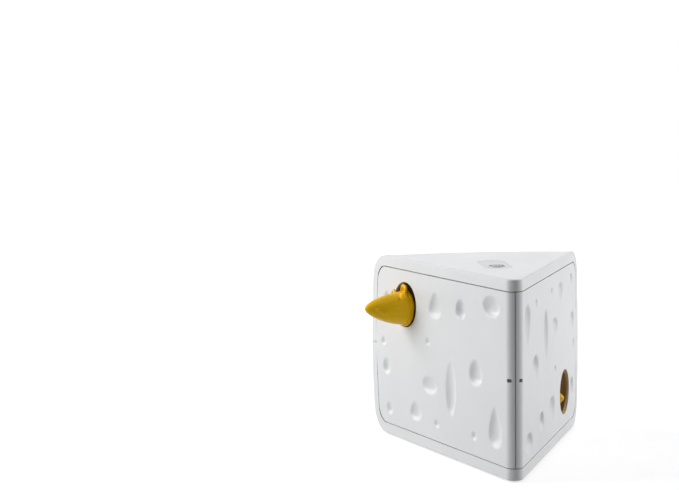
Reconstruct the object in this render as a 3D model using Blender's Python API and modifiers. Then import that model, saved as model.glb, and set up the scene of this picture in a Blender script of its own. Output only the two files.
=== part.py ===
"""Cheese wedge pet toy: two mouse heads ride on geared racks and slip in and out of the housing.

The frame: X is across, +Y points from the near corner to the rind and +Z is up. The origin is the
middle of the near foot's underside, and the housing is symmetric about X = 0. Each piece is
built about the point where the upright drive shaft's axis meets the housing's flat underside,
and an empty there carries them all to their places above the feet.
"""

import math

import bmesh
import bpy
from mathutils import Matrix, Vector

# General fits
CLEARANCE = 0.0003
RUNNING_GAP = 0.0001
OVERLAP = 0.0008
OVERRUN = 0.006
WELD = 0.000001
FLAT_ANGLE = math.radians(0.05)
SMOOTH_ANGLE = math.radians(32)
DIMPLE_SMOOTH_ANGLE = math.radians(14)

# Housing: a slice of a cheese wheel with a rounded rim
HEIGHT = 0.1915
FACE_LENGTH = 0.2947
HALF_ANGLE = math.radians(22.5)
NEAR_EDGE_R = 0.009
FAR_EDGE_R = 0.0012
FAR_INNER_R = 0.001
RIND_R = 0.480
RIM_BULGE_R = 0.650
RIM_CORNER_R = 0.028
TOP_EDGE_R = 0.0015
WALL = 0.0030
SIDE_WALL = 0.0052
PART_LINE = 0.0005
NEAR_STEPS = 8
FAR_STEPS = 3
RIND_STEPS = 8
BULGE_STEPS = 2
CORNER_STEPS = 6
INNER_CORNER_STEPS = 3
FILLET_STEPS = 2

# Side panels, let into the housing's sides
BAND = 0.0118
SEAM_GAP = 0.0008
PANEL_WALL = 0.0024
LIP_WIDTH = 0.0050
LATCH_ANGLE = math.radians(40)
LATCH_WIDTH = 0.0050
LATCH_TALL = 0.0033
LATCH_RECESS = 0.0011
DIMPLE_DEPTH = 0.0014
DIMPLE_SINK_SHARE = 0.4
DIMPLE_SIDES = 12
DIMPLE_RINGS = 6
# Each dimple: distance from the apex, height above the middle, width, height, taper to its top
DIMPLES = (
    (0.2600, 0.0490, 0.0140, 0.0200, 0.2),
    (0.1560, 0.0545, 0.0230, 0.0270, 0.5),
    (0.1050, 0.0570, 0.0190, 0.0200, 0.1),
    (0.0475, 0.0665, 0.0310, 0.0210, 0.0),
    (0.2670, 0.0040, 0.0090, 0.0100, 0.3),
    (0.1710, 0.0160, 0.0090, 0.0080, 0.0),
    (0.2610, -0.0225, 0.0160, 0.0180, 0.1),
    (0.1680, -0.0285, 0.0310, 0.0180, 0.0),
    (0.1250, -0.0255, 0.0200, 0.0540, 0.0),
    (0.0770, -0.0015, 0.0240, 0.0260, 0.2),
    (0.2570, -0.0670, 0.0140, 0.0130, 0.0),
    (0.1980, -0.0605, 0.0230, 0.0200, 0.3),
    (0.1540, -0.0655, 0.0100, 0.0085, 0.2),
    (0.0800, -0.0640, 0.0100, 0.0085, 0.2),
    (0.0410, -0.0485, 0.0220, 0.0410, 0.5),
)
HOLE_FROM_APEX = 0.2195
HOLE_RISE_SHARE = 0.25091
HOLE_RISE = HOLE_RISE_SHARE * HEIGHT
HOLE_HALF_WIDTH = 0.0244
HOLE_HALF_HEIGHT = 0.0237
HOLE_SIDES = 40

# Corner post behind the panels' near edges
POST_DEPTH = 0.0180
POST_PEG_DEPTH = 0.0150

# Mouse heads
SLOPE = math.radians(7)
AXIS_DROP = 0.0006
HEAD_DROP = 0.0031
HEAD_LIFT = math.radians(3.3)
HEAD_ROLL = math.radians(20)
HEAD_LENGTH = 0.0469
HEAD_BASE_R = 0.0173
HEAD_BASE_OUT = 0.0031
HEAD_POWER = 0.60
HEAD_CURVE = 1.5
HEAD_RINGS = 9
HEAD_SIDES = 24
GROOVE_R = 0.0166
GROOVE_WIDE = 0.0008
FLANGE_R = 0.0190
FLANGE_OUT = 0.0021
FLANGE_BACK = 0.0011
EAR_SPREAD = math.radians(34)
EAR_CENTRE_R = 0.0188
EAR_TALL_R = 0.0062
EAR_WIDE_R = 0.0058
EAR_THICK_R = 0.0019
EAR_OUT = 0.0046
EAR_DISH_SHARE = 0.62
EAR_SIDES = 10
EYE_R = 0.0014
EYE_OUT = 0.0125
EYE_ANGLE = math.radians(75)
SOCKET_DEPTH = 0.0080

# Sleeves that hide the works behind the mouse holes
SLEEVE_R = 0.0252
SLEEVE_WALL = 0.0022
SLEEVE_BACK_GAP = 0.0030
SLEEVE_SIDES = 28
LEG_R = 0.0030
LEG_SINK_SHARE = 0.55
LEG_INSET_SHARE = 1.5
LEG_OUT_NEAR = 0.016
LEG_OUT_FAR = 0.046

# Rack and pinion
MODULE = 0.0015
PINION_TEETH = 24
STROKE_TEETH = 10
PINION_FACE = 0.0120
PRESSURE = math.radians(20)
BACKLASH = 0.0003
TIP_SHARE = 0.85
ROOT_SHARE = 1.25
RACK_BODY = 0.0050
RACK_TALL = 0.0080
RACK_END = 0.0010
GUIDE_WALL = 0.0020
GUIDE_START = 0.0085
GUIDE_END = 0.0960
STEM_R = 0.0040
ARM_THICK = 0.0060
ARM_TALL = 0.0050
ARM_BOSS = 0.0052
ARM_GAP = 0.0010

# Gear train
DRIVE_TEETH = 36
WHEEL_TEETH = 24
SMALL_TEETH = 8
MOTOR_TEETH = 8
GEAR_FACE = 0.0040
LEVEL_STEP = 0.0060
HUB_R = 0.0036
SHAFT_R = 0.0030
AXLE_R = 0.0015
MOTOR_SHAFT_R = 0.0010
DRIVE_HUB_R = 0.0062
BORE_SIDES = 14
PIN_SIDES = 8

# Mechanism deck and gear cover
DECK_GAP = 0.0045
DECK_THICK = 0.0025
DECK_MARGIN = 0.0030
COVER_THICK = 0.0025
COVER_R = 0.0370
COVER_NOSE_R = 0.0262
COVER_LEG_R = 0.0030
COVER_LEG_LEAN = math.radians(28)
FIRST_LEVEL = 0.0025
PEDESTAL_R = 0.0050
PEDESTAL_PILOT_R = 0.0013
PEDESTALS = ((-0.042, -0.047), (0.042, -0.047), (-0.066, 0.037), (0.0, 0.0745))

# Motor
MOTOR_R = 0.0120
MOTOR_LONG = 0.0285
MOTOR_NOSE_R = 0.0035
MOTOR_TAIL_R = 0.0045
MOTOR_TAIL = 0.0020
MOTOR_SIDES = 20
MOTOR_FLAT_SHARE = 0.8

# Bushes at the two ends of the drive shaft
BUSH_R = 0.0050
BUSH_LONG = 0.0080
BOSS_R = 0.0078

# Housing screws
COLUMN_SIDES = 12
COLUMN_R = 0.0060
WELL_R = 0.0041
SHOULDER = 0.0180
PILOT_R = 0.0017
TOP_COLUMN_R = 0.0050
SCREW_SIDES = 8
SCREW_R = 0.0014
SCREW_HEAD_R = 0.0034
SCREW_HEAD = 0.0022
SCREW_LONG = 0.0280
SLOT_WIDE = 0.0008
SLOT_DEEP = 0.0006
SLOT_SHARE = 0.7
NEAR_COLUMN_FROM_APEX = 0.062
FAR_COLUMN_ACROSS = 0.084
FAR_COLUMN_FROM_APEX = 0.244
DECK_SCREW_R = 0.0011
DECK_SCREW_HEAD_R = 0.0026
DECK_SCREW_HEAD = 0.0016
DECK_SCREW_LONG = 0.0120

# Power button, its pad and the board below
PAD_WIDE = 0.0280
PAD_LONG = 0.0700
PAD_CORNER_R = 0.0120
PAD_THICK = 0.0008
PAD_RECESS = 0.0013
PAD_FROM_APEX = 0.1370
BUTTON_FROM_APEX = 0.1230
BUTTON_R = 0.0089
BUTTON_PROUD = 0.0006
BUTTON_EDGE = 0.0006
BUTTON_TRAVEL = 0.0010
BUTTON_FLANGE_R = 0.0108
BUTTON_FLANGE = 0.0015
BUTTON_STEM_R = 0.0028
BUTTON_STEM = 0.0040
BUTTON_SIDES = 26
BUTTON_HOLE_SIDES = 32
BOARD_WIDE = 0.0300
BOARD_LONG = 0.0560
BOARD_THICK = 0.0016
BOARD_DEPTH = 0.0150
BOARD_BOSS_R = 0.0024
BOARD_BOSS_INSET = 0.0040
SWITCH_SIDE = 0.0060

# Batteries
CELL_R = 0.00715
CELL_LONG = 0.0492
CELL_NIB_R = 0.0027
CELL_NIB = 0.0010
CELL_PITCH = 0.0150
CELL_COUNT = 4
CELL_SIDES = 16
TRAY_WALL = 0.0016
TRAY_FROM_APEX = 0.1230
CONTACT_THICK = 0.0006
CONTACT_SPRING_R = 0.0034
CONTACT_REACH = 0.0022
CONTACT_TALL = 0.0110
DOOR_THICK = 0.0024
DOOR_SINK = 0.0002
DOOR_GRIP_COUNT = 4
DOOR_GRIP_LONG = 0.0160
DOOR_GRIP_WIDE = 0.0012
DOOR_GRIP_PITCH = 0.0026
DOOR_GRIP_DEEP = 0.0008
DOOR_SCREW_WELL_R = 0.0033
DOOR_SCREW_SEAT = 0.0010
DOOR_SCREW_HEAD_R = 0.0027
DOOR_SCREW_HEAD = 0.0012
DOOR_SCREW_LONG = 0.0080
TAB_WIDE = 0.0140
TAB_LONG = 0.0090
TAB_TALL = 0.0080
TAB_PILOT = 0.0074

# Rubber feet
FOOT_R = 0.0070
FOOT_THICK = 0.0026
FOOT_STAND = 0.0015
FOOT_EDGE = 0.0006
FOOT_SIDES = 20
NEAR_FOOT_FROM_APEX = 0.038
FAR_FOOT_ACROSS = 0.066
FAR_FOOT_FROM_APEX = 0.236

# Worked out from the sizes above
MID = HEIGHT / 2
SIN = math.sin(HALF_ANGLE)
COS = math.cos(HALF_ANGLE)
PINION_R = MODULE * PINION_TEETH / 2
TOOTH_PITCH = math.pi * MODULE
STROKE = STROKE_TEETH * TOOTH_PITCH
GUIDE_FACE = SLEEVE_R + SLEEVE_WALL + GUIDE_WALL
RACK_BACK = GUIDE_FACE + CLEARANCE
RACK_ROOT = RACK_BACK + RACK_BODY
RACK_PITCH_LINE = RACK_ROOT + ROOT_SHARE * MODULE
APEX_TO_SHAFT = (HOLE_FROM_APEX - RACK_PITCH_LINE - PINION_R) / COS
APEX_Y = -APEX_TO_SHAFT
PITCH_POINT = APEX_TO_SHAFT * SIN
SLEEVE_END = FLANGE_BACK + STROKE + SLEEVE_BACK_GAP + SLEEVE_WALL
ARM_START = SLEEVE_END + ARM_GAP
UPPER_AXIS = MID + HOLE_RISE - AXIS_DROP
LOWER_AXIS = MID - HOLE_RISE - AXIS_DROP
DECK_BOTTOM = LOWER_AXIS + SLEEVE_R + SLEEVE_WALL + DECK_GAP
DECK_TOP = DECK_BOTTOM + DECK_THICK
GEAR_LEVELS = [DECK_TOP + FIRST_LEVEL + LEVEL_STEP * step for step in range(3)]
COVER_BOTTOM = GEAR_LEVELS[-1] + GEAR_FACE + FIRST_LEVEL
COVER_TOP = COVER_BOTTOM + COVER_THICK
WHEEL_2_Y = -MODULE * (DRIVE_TEETH + SMALL_TEETH) / 2
WHEEL_1_Y = WHEEL_2_Y - MODULE * (WHEEL_TEETH + SMALL_TEETH) / 2
MOTOR_Y = WHEEL_1_Y - MODULE * (WHEEL_TEETH + MOTOR_TEETH) / 2
COLUMN_TOP = MID - PART_LINE / 2
COLUMNS = (
    (0.0, APEX_Y + NEAR_COLUMN_FROM_APEX),
    (-FAR_COLUMN_ACROSS, APEX_Y + FAR_COLUMN_FROM_APEX),
    (FAR_COLUMN_ACROSS, APEX_Y + FAR_COLUMN_FROM_APEX),
)
FEET = (
    ("foot_near", 0.0, APEX_Y + NEAR_FOOT_FROM_APEX),
    ("foot_far_left", -FAR_FOOT_ACROSS, APEX_Y + FAR_FOOT_FROM_APEX),
    ("foot_far_right", FAR_FOOT_ACROSS, APEX_Y + FAR_FOOT_FROM_APEX),
)
BUTTON_Y = APEX_Y + BUTTON_FROM_APEX
PAD_Y = APEX_Y + PAD_FROM_APEX
TRAY_Y = APEX_Y + TRAY_FROM_APEX
CEILING = HEIGHT - WALL
BOARD_TOP = HEIGHT - BOARD_DEPTH
TRAY_WIDE = CELL_PITCH * CELL_COUNT
TRAY_LONG = CELL_LONG + CELL_NIB + 2 * (CONTACT_THICK + CONTACT_REACH) + 2 * CLEARANCE
TAB_Y = TRAY_LONG / 2 + TAB_LONG / 2
TRAY_ROOF = WALL + 3 * CLEARANCE + 2 * CELL_R

# Looks: colour, roughness, metallic
WHITE_ABS = ((0.80, 0.81, 0.82), 0.38, 0.0)
PALE_GREY = ((0.62, 0.63, 0.64), 0.42, 0.0)
YELLOW_ABS = ((0.80, 0.52, 0.02), 0.30, 0.0)
BROWN_ABS = ((0.13, 0.085, 0.045), 0.55, 0.0)
BLACK_ABS = ((0.05, 0.05, 0.055), 0.50, 0.0)
NATURAL_ACETAL = ((0.78, 0.77, 0.72), 0.40, 0.0)
BLACK_ACETAL = ((0.06, 0.06, 0.065), 0.42, 0.0)
STEEL = ((0.62, 0.62, 0.63), 0.28, 1.0)
BRASS = ((0.72, 0.53, 0.22), 0.32, 1.0)
BOARD_GREEN = ((0.03, 0.20, 0.09), 0.45, 0.0)
RUBBER = ((0.09, 0.09, 0.095), 0.80, 0.0)
CELL_JACKET = ((0.10, 0.16, 0.34), 0.35, 0.0)

for old in list(bpy.data.objects):
    bpy.data.objects.remove(old, do_unlink=True)

TOY = bpy.data.collections.new("cheese_wedge_toy")
CUTTERS = bpy.data.collections.new("cutters")
bpy.context.scene.collection.children.link(TOY)
bpy.context.scene.collection.children.link(CUTTERS)


def finish(obj, name, look, smooth=SMOOTH_ANGLE):
    """Names a finished piece, gives it its own material and smooth round faces."""
    settle(obj)
    colour, roughness, metallic = look
    obj.name = name
    obj.data.name = name
    material = bpy.data.materials.new(name)
    material.use_nodes = True
    shader = material.node_tree.nodes["Principled BSDF"]
    shader.inputs["Base Color"].default_value = (*colour, 1.0)
    shader.inputs["Roughness"].default_value = roughness
    shader.inputs["Metallic"].default_value = metallic
    obj.data.materials.clear()
    obj.data.materials.append(material)
    obj.data.shade_smooth()
    obj.data.set_sharp_from_angle(angle=smooth)
    return obj


def mesh_object(mesh):
    obj = bpy.data.objects.new("piece", mesh)
    TOY.objects.link(obj)
    return obj


def from_bmesh(shape):
    mesh = bpy.data.meshes.new("piece")
    bmesh.ops.recalc_face_normals(shape, faces=shape.faces)
    shape.to_mesh(mesh)
    shape.free()
    return mesh_object(mesh)


def reshape(obj, matrix):
    """Moves, turns, shears or mirrors a piece's mesh."""
    obj.data.transform(matrix)
    if matrix.to_3x3().determinant() < 0:
        obj.data.flip_normals()
    return obj


def settle(obj):
    """Makes a piece's modifiers part of its mesh and removes their tools."""
    if not obj.modifiers:
        return obj
    bpy.context.view_layer.update()
    graph = bpy.context.evaluated_depsgraph_get()
    mesh = bpy.data.meshes.new_from_object(obj.evaluated_get(graph))
    tools = [modifier.object for modifier in obj.modifiers if modifier.type == "BOOLEAN"]
    obj.modifiers.clear()
    obj.data = mesh
    for tool in tools:
        bpy.data.objects.remove(tool, do_unlink=True)
    return obj


def boolean(obj, tool, operation):
    tool.display_type = "WIRE"
    tool.hide_render = True
    TOY.objects.unlink(tool)
    CUTTERS.objects.link(tool)
    modifier = obj.modifiers.new(operation.lower(), "BOOLEAN")
    modifier.operation = operation
    modifier.solver = "EXACT"
    modifier.object = tool
    return obj


def carve(obj, *tools):
    for tool in tools:
        boolean(obj, tool, "DIFFERENCE")
    return obj


def join(obj, *tools):
    for tool in tools:
        boolean(obj, tool, "UNION")
    return obj


def slab(low, high, *outlines):
    """A flat plate between two heights. The first outline is its edge, and the others are holes."""
    curve = bpy.data.curves.new("slab", "CURVE")
    curve.dimensions = "2D"
    curve.fill_mode = "BOTH"
    curve.extrude = (high - low) / 2
    for outline in outlines:
        spline = curve.splines.new("POLY")
        spline.points.add(len(outline) - 1)
        spline.use_cyclic_u = True
        for point, (x, y) in zip(spline.points, outline):
            point.co = (x, y, 0, 1)
    guide = bpy.data.objects.new("slab", curve)
    bpy.context.scene.collection.objects.link(guide)
    bpy.context.view_layer.update()
    graph = bpy.context.evaluated_depsgraph_get()
    mesh = bpy.data.meshes.new_from_object(guide.evaluated_get(graph))
    bpy.data.objects.remove(guide, do_unlink=True)
    shape = bmesh.new()
    shape.from_mesh(mesh)
    bmesh.ops.remove_doubles(shape, verts=shape.verts, dist=WELD)
    bmesh.ops.translate(shape, verts=shape.verts, vec=(0, 0, (low + high) / 2))
    return from_bmesh(shape)


def merge_flats(obj):
    """Makes neighbouring faces that lie in one plane into one face."""
    shape = bmesh.new()
    shape.from_mesh(obj.data)
    bmesh.ops.dissolve_limit(shape, angle_limit=FLAT_ANGLE, verts=shape.verts, edges=shape.edges)
    shape.to_mesh(obj.data)
    shape.free()
    return obj


def circle(radius, sides, x=0, y=0):
    turns = [2 * math.pi * step / sides for step in range(sides)]
    return [(x + radius * math.cos(turn), y + radius * math.sin(turn)) for turn in turns]


def rectangle(wide, long, x=0, y=0):
    corners = ((-0.5, -0.5), (0.5, -0.5), (0.5, 0.5), (-0.5, 0.5))
    return [(x + wide * across, y + long * along) for across, along in corners]


def rounded_rectangle(wide, long, radius, x=0, y=0, steps=6):
    points = []
    for quarter, (across, along) in enumerate(((1, 1), (-1, 1), (-1, -1), (1, -1))):
        for step in range(steps + 1):
            turn = math.pi / 2 * (quarter + step / steps)
            points.append(
                (
                    x + across * (wide / 2 - radius) + radius * math.cos(turn),
                    y + along * (long / 2 - radius) + radius * math.sin(turn),
                )
            )
    return points


def rod(radius, low, high, x=0, y=0, sides=BORE_SIDES):
    """An upright round bar."""
    shape = bmesh.new()
    place = Matrix.Translation((x, y, (low + high) / 2))
    bmesh.ops.create_cone(
        shape,
        cap_ends=True,
        segments=sides,
        radius1=radius,
        radius2=radius,
        depth=high - low,
        matrix=place,
    )
    return from_bmesh(shape)


def turned(profile, sides, closed=False):
    """A piece turned round Z from (radius, height) points that run from its top to its bottom."""
    mesh = bpy.data.meshes.new("profile")
    points = [(radius, 0, height) for radius, height in profile]
    edges = [(step, step + 1) for step in range(len(points) - 1)]
    if closed:
        edges.append((len(points) - 1, 0))
    mesh.from_pydata(points, edges, [])
    obj = mesh_object(mesh)
    screw = obj.modifiers.new("turn", "SCREW")
    screw.steps = sides
    screw.render_steps = sides
    screw.use_merge_vertices = True
    screw.merge_threshold = WELD
    settle(obj)
    shape = bmesh.new()
    shape.from_mesh(obj.data)
    bmesh.ops.recalc_face_normals(shape, faces=shape.faces)
    shape.to_mesh(obj.data)
    shape.free()
    return obj


def loft(rings):
    """A closed skin through rings with the same number of points, capped at both ends."""
    shape = bmesh.new()
    rows = [[shape.verts.new(point) for point in ring] for ring in rings]
    count = len(rows[0])
    for row, following in zip(rows, rows[1:]):
        for spot in range(count):
            beside = (spot + 1) % count
            shape.faces.new((row[spot], row[beside], following[beside], following[spot]))
    shape.faces.new(rows[0][::-1])
    shape.faces.new(rows[-1])
    return from_bmesh(shape)


def along_y(obj):
    """Lays an upright piece down so that its height runs along +Y."""
    return reshape(obj, Matrix.Rotation(-math.pi / 2, 4, "X"))


def rim_reach(inset):
    """The rim's half height, corner radius and bulge radius, all drawn in by an inset."""
    return MID - inset, RIM_CORNER_R - inset, RIM_BULGE_R - inset


def rim_turn(inset):
    """How far round the bulge's arc its corner arc begins, and how far out that corner's centre is."""
    half, corner, bulge = rim_reach(inset)
    reach = math.sqrt((bulge - corner) ** 2 - (half - corner) ** 2)
    return math.atan2(half - corner, reach), reach


def rim_inset(rise, inset=0):
    """How far the rind is drawn in at a height above or below the middle."""
    half, corner, bulge = rim_reach(inset)
    turn, reach = rim_turn(inset)
    rise = min(abs(rise), half)
    if rise <= bulge * math.sin(turn):
        return inset + bulge - math.sqrt(bulge**2 - rise**2)
    over = rise - (half - corner)
    return inset + bulge - reach - math.sqrt(max(corner**2 - over**2, 0))


def rim_rises(inset=0, corner_steps=CORNER_STEPS):
    """Heights above the middle at which the rim needs a ring, lowest first."""
    half, corner, bulge = rim_reach(inset)
    turn, _ = rim_turn(inset)
    rises = [bulge * math.sin(turn * step / BULGE_STEPS) for step in range(1, BULGE_STEPS + 1)]
    for step in range(1, corner_steps + 1):
        angle = turn + (math.pi / 2 - turn) * step / corner_steps
        rises.append(half - corner + corner * math.sin(angle))
    return rises


def side_inset(rise):
    """The small round along the top and bottom edges of the two side faces."""
    over = abs(rise) - (MID - TOP_EDGE_R)
    return TOP_EDGE_R - math.sqrt(TOP_EDGE_R**2 - min(over, TOP_EDGE_R) ** 2) if over > 0 else 0


def rind_centre_y():
    """The centre of the rind's arc, measured from the apex."""
    across, along = FACE_LENGTH * SIN, FACE_LENGTH * COS
    return along - math.sqrt(RIND_R**2 - across**2)


def wedge_outline(side, back, far_r=FAR_INNER_R):
    """The wedge's outline with its side faces and rind drawn in, as (x, y) points."""
    near_r = max(NEAR_EDGE_R - side, FAR_INNER_R)
    near_y = NEAR_EDGE_R / SIN if NEAR_EDGE_R - side > FAR_INNER_R else (side + near_r) / SIN
    centre = Vector((0, rind_centre_y()))
    along, outward = Vector((SIN, COS)), Vector((COS, -SIN))
    start = -(side + far_r) * outward - centre
    reach = RIND_R - back - far_r
    run = -start.dot(along) + math.sqrt(start.dot(along) ** 2 - start.length_squared + reach**2)
    corner = start + run * along
    corner_angle = math.atan2(corner.y, corner.x)
    right = []
    for step in range(NEAR_STEPS // 2 + 1):
        angle = -math.pi / 2 + (math.pi / 2 - HALF_ANGLE) * step / (NEAR_STEPS // 2)
        right.append((near_r * math.cos(angle), near_y + near_r * math.sin(angle)))
    for step in range(FAR_STEPS + 1):
        angle = -HALF_ANGLE + (corner_angle + HALF_ANGLE) * step / FAR_STEPS
        spot = corner + centre + far_r * Vector((math.cos(angle), math.sin(angle)))
        right.append((spot.x, spot.y))
    for step in range(1, RIND_STEPS // 2 + 1):
        angle = corner_angle + (math.pi / 2 - corner_angle) * step / (RIND_STEPS // 2)
        spot = centre + (RIND_R - back) * Vector((math.cos(angle), math.sin(angle)))
        right.append((spot.x, spot.y))
    left = [(-x, y) for x, y in right[-2:0:-1]]
    return [(x, y + APEX_Y) for x, y in right + left]


def shell_ring(rise, inner):
    if inner:
        outline = wedge_outline(SIDE_WALL, rim_inset(rise, WALL))
    else:
        outline = wedge_outline(side_inset(rise), rim_inset(rise), FAR_EDGE_R)
    return [Vector((x, y, rise)) for x, y in outline]


def half_shell(upright):
    """One half of the housing, open at the middle. Upright is 1 for the top and -1 for the bottom."""
    split = PART_LINE / 2
    inner = [split] + rim_rises(WALL, INNER_CORNER_STEPS)
    fillet = [MID - TOP_EDGE_R * (1 - step / FILLET_STEPS) for step in range(FILLET_STEPS)]
    outer = sorted([split] + rim_rises() + fillet)
    rings = [shell_ring(rise, True) for rise in reversed(inner)]
    rings += [shell_ring(rise, False) for rise in outer]
    shell = loft(rings)
    place = Matrix.Translation((0, 0, MID)) @ Matrix.Diagonal((1, 1, upright, 1))
    return reshape(shell, place)


def face_matrix(side):
    """From (distance along a face, height above the middle, outward) to the part's frame."""
    return Matrix(
        (
            (side * SIN, 0, side * COS, 0),
            (COS, 0, -SIN, APEX_Y),
            (0, 1, 0, MID),
            (0, 0, 0, 1),
        )
    )


def face_path(inset, far, cut_back):
    """A line drawn in from the right side face, from the near corner to its far end, in plan."""
    radius = NEAR_EDGE_R - inset
    first = -math.pi / 2 + math.asin(cut_back / radius)
    path = []
    for step in range(NEAR_STEPS + 1):
        angle = first + (-HALF_ANGLE - first) * step / NEAR_STEPS
        path.append((radius * math.cos(angle), NEAR_EDGE_R / SIN + radius * math.sin(angle)))
    path.append((far * SIN - inset * COS, far * COS + inset * SIN))
    return [(x, y + APEX_Y) for x, y in path]


def face_plate(outside, inside, inset, cut_back=0):
    """A plate bent round the near corner, its edge drawn in from the face's outline by an inset.

    With a cut back it covers the right side only, and without one it covers both sides.
    """
    rises = rim_rises(inset)
    rings = []
    for rise in [-rise for rise in reversed(rises)] + rises:
        far = FACE_LENGTH - rim_inset(rise, inset)
        paths = [face_path(depth, far, cut_back) for depth in (outside, inside)]
        if cut_back == 0:
            paths = [[(-x, y) for x, y in path[:0:-1]] + path for path in paths]
        rings.append([(x, y, MID + rise) for x, y in paths[0] + paths[1][::-1]])
    return loft(rings)


def side_openings():
    """Tools that open the housing's sides: a shallow rebate for the panels and a window inside it."""
    rebate = face_plate(-OVERRUN, PANEL_WALL + CLEARANCE, BAND - SEAM_GAP / 2)
    window = face_plate(-OVERRUN, SIDE_WALL + OVERRUN / 3, BAND + LIP_WIDTH)
    return rebate, window


def latch_block(angle, wide, tall, inner, outer):
    """A small block set radially on the near corner's round, clockwise from the middle plane."""
    block = slab(-tall / 2, tall / 2, rectangle(wide, outer - inner, 0, -(inner + outer) / 2))
    place = Matrix.Translation((0, APEX_Y + NEAR_EDGE_R / SIN, MID))
    return reshape(block, place @ Matrix.Rotation(angle, 4, "Z"))


def dimple_tool(across, rise, wide, tall, taper):
    """A squashed ball that leaves one shallow dimple in a panel's outer face."""
    shape = bmesh.new()
    bmesh.ops.create_uvsphere(shape, u_segments=DIMPLE_SIDES, v_segments=DIMPLE_RINGS, radius=1)
    spread = math.sqrt(1 - (1 - DIMPLE_SINK_SHARE) ** 2)
    depth = DIMPLE_DEPTH / DIMPLE_SINK_SHARE
    for vert in shape.verts:
        vert.co.x *= 1 - taper * vert.co.y
    scale = Matrix.Diagonal((wide / 2 / spread, tall / 2 / spread, depth, 1))
    lift = Matrix.Translation((across, rise, depth - DIMPLE_DEPTH))
    shape.transform(lift @ scale)
    return from_bmesh(shape)


def panel():
    """The left panel: a bent plate with dimples, the mouse hole and the latch window."""
    plate = face_plate(0, PANEL_WALL, BAND + SEAM_GAP / 2, SEAM_GAP / 2)
    tools = [dimple_tool(*dimple) for dimple in DIMPLES]
    hole = [
        (HOLE_FROM_APEX + x * HOLE_HALF_WIDTH, HOLE_RISE + y * HOLE_HALF_HEIGHT)
        for x, y in circle(1, HOLE_SIDES)
    ]
    tools.append(slab(-OVERRUN, OVERRUN, hole))
    for tool in tools:
        reshape(tool, face_matrix(1))
    inner = NEAR_EDGE_R - PANEL_WALL - OVERLAP
    tools.append(latch_block(LATCH_ANGLE, LATCH_WIDTH, LATCH_TALL, inner, NEAR_EDGE_R + OVERRUN))
    settle(carve(plate, *tools))
    return merge_flats(reshape(plate, Matrix.Diagonal((-1, 1, 1, 1))))


def build_panels():
    left = finish(panel(), "left_panel", WHITE_ABS, DIMPLE_SMOOTH_ANGLE)
    right = bpy.data.objects.new("right_panel", left.data.copy())
    TOY.objects.link(right)
    right.location = (0, 0, HEIGHT)
    right.rotation_euler = (0, math.pi, 0)
    finish(right, "right_panel", WHITE_ABS, DIMPLE_SMOOTH_ANGLE)


def column_screw_top():
    return COLUMN_TOP - SHOULDER


def build_top_shell():
    shell = half_shell(1)
    carve(shell, *side_openings())
    low = MID + PART_LINE / 2
    for x, y in COLUMNS:
        join(shell, rod(TOP_COLUMN_R, low, CEILING + OVERLAP, x, y))
    join(shell, rod(BOSS_R, CEILING - BUSH_LONG - CLEARANCE, CEILING + OVERLAP))
    for x, y in board_corners():
        join(shell, rod(BOARD_BOSS_R, BOARD_TOP + CLEARANCE, CEILING + OVERLAP, x, y, PIN_SIDES))
    for x, y in COLUMNS:
        carve(shell, rod(PILOT_R, low - OVERRUN, low + SCREW_LONG - SHOULDER + OVERRUN, x, y))
    bush_low = CEILING - BUSH_LONG - OVERRUN
    carve(shell, rod(BUSH_R + CLEARANCE, bush_low, CEILING + CLEARANCE))
    recess = rounded_rectangle(PAD_WIDE, PAD_LONG, PAD_CORNER_R, 0, PAD_Y)
    carve(shell, slab(HEIGHT - PAD_RECESS, HEIGHT + OVERRUN, recess))
    high = HEIGHT + OVERRUN
    carve(shell, rod(BUTTON_R + CLEARANCE, CEILING - OVERRUN, high, 0, BUTTON_Y, BUTTON_HOLE_SIDES))
    finish(merge_flats(settle(shell)), "top_shell", WHITE_ABS)


def build_bottom_shell():
    shell = half_shell(-1)
    carve(shell, *side_openings())
    floor = WALL - OVERLAP
    for x, y in COLUMNS:
        join(shell, rod(COLUMN_R, floor, COLUMN_TOP, x, y, COLUMN_SIDES))
    for x, y in PEDESTALS:
        join(shell, rod(PEDESTAL_R, floor, DECK_BOTTOM - CLEARANCE, x, y))
    join(shell, rod(BOSS_R, floor, WALL + BUSH_LONG))
    for x, y in COLUMNS:
        carve(shell, rod(WELL_R, -OVERRUN, column_screw_top(), x, y))
        carve(shell, rod(PILOT_R, column_screw_top() - OVERLAP, COLUMN_TOP + OVERRUN, x, y))
    for x, y in PEDESTALS:
        high = DECK_BOTTOM + OVERRUN
        carve(shell, rod(PEDESTAL_PILOT_R, DECK_TOP - DECK_SCREW_LONG - OVERLAP, high, x, y))
    carve(shell, rod(BUSH_R + CLEARANCE, WALL + CLEARANCE, WALL + BUSH_LONG + OVERRUN))
    for _, x, y in FEET:
        top = FOOT_THICK - FOOT_STAND + CLEARANCE
        carve(shell, rod(FOOT_R + CLEARANCE, -OVERRUN, top, x, y, FOOT_SIDES))
    opening = slab(-OVERRUN, WALL + OVERLAP, door_outline(CLEARANCE))
    carve(shell, reshape(opening, Matrix.Translation((0, TRAY_Y, 0))))
    finish(merge_flats(settle(shell)), "bottom_shell", WHITE_ABS)


def post_outline(side, depth):
    """The near corner's outline drawn in, cut straight across behind."""
    radius = NEAR_EDGE_R - side
    centre_y = NEAR_EDGE_R / SIN
    right = []
    for step in range(NEAR_STEPS // 2 + 1):
        angle = -math.pi / 2 + (math.pi / 2 - HALF_ANGLE) * step / (NEAR_STEPS // 2)
        right.append((radius * math.cos(angle), centre_y + radius * math.sin(angle)))
    back_y = centre_y - NEAR_EDGE_R + depth
    right.append(((back_y - side / SIN) * math.tan(HALF_ANGLE), back_y))
    left = [(-x, y) for x, y in right[:0:-1]]
    return [(x, y + APEX_Y) for x, y in right + left]


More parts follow.
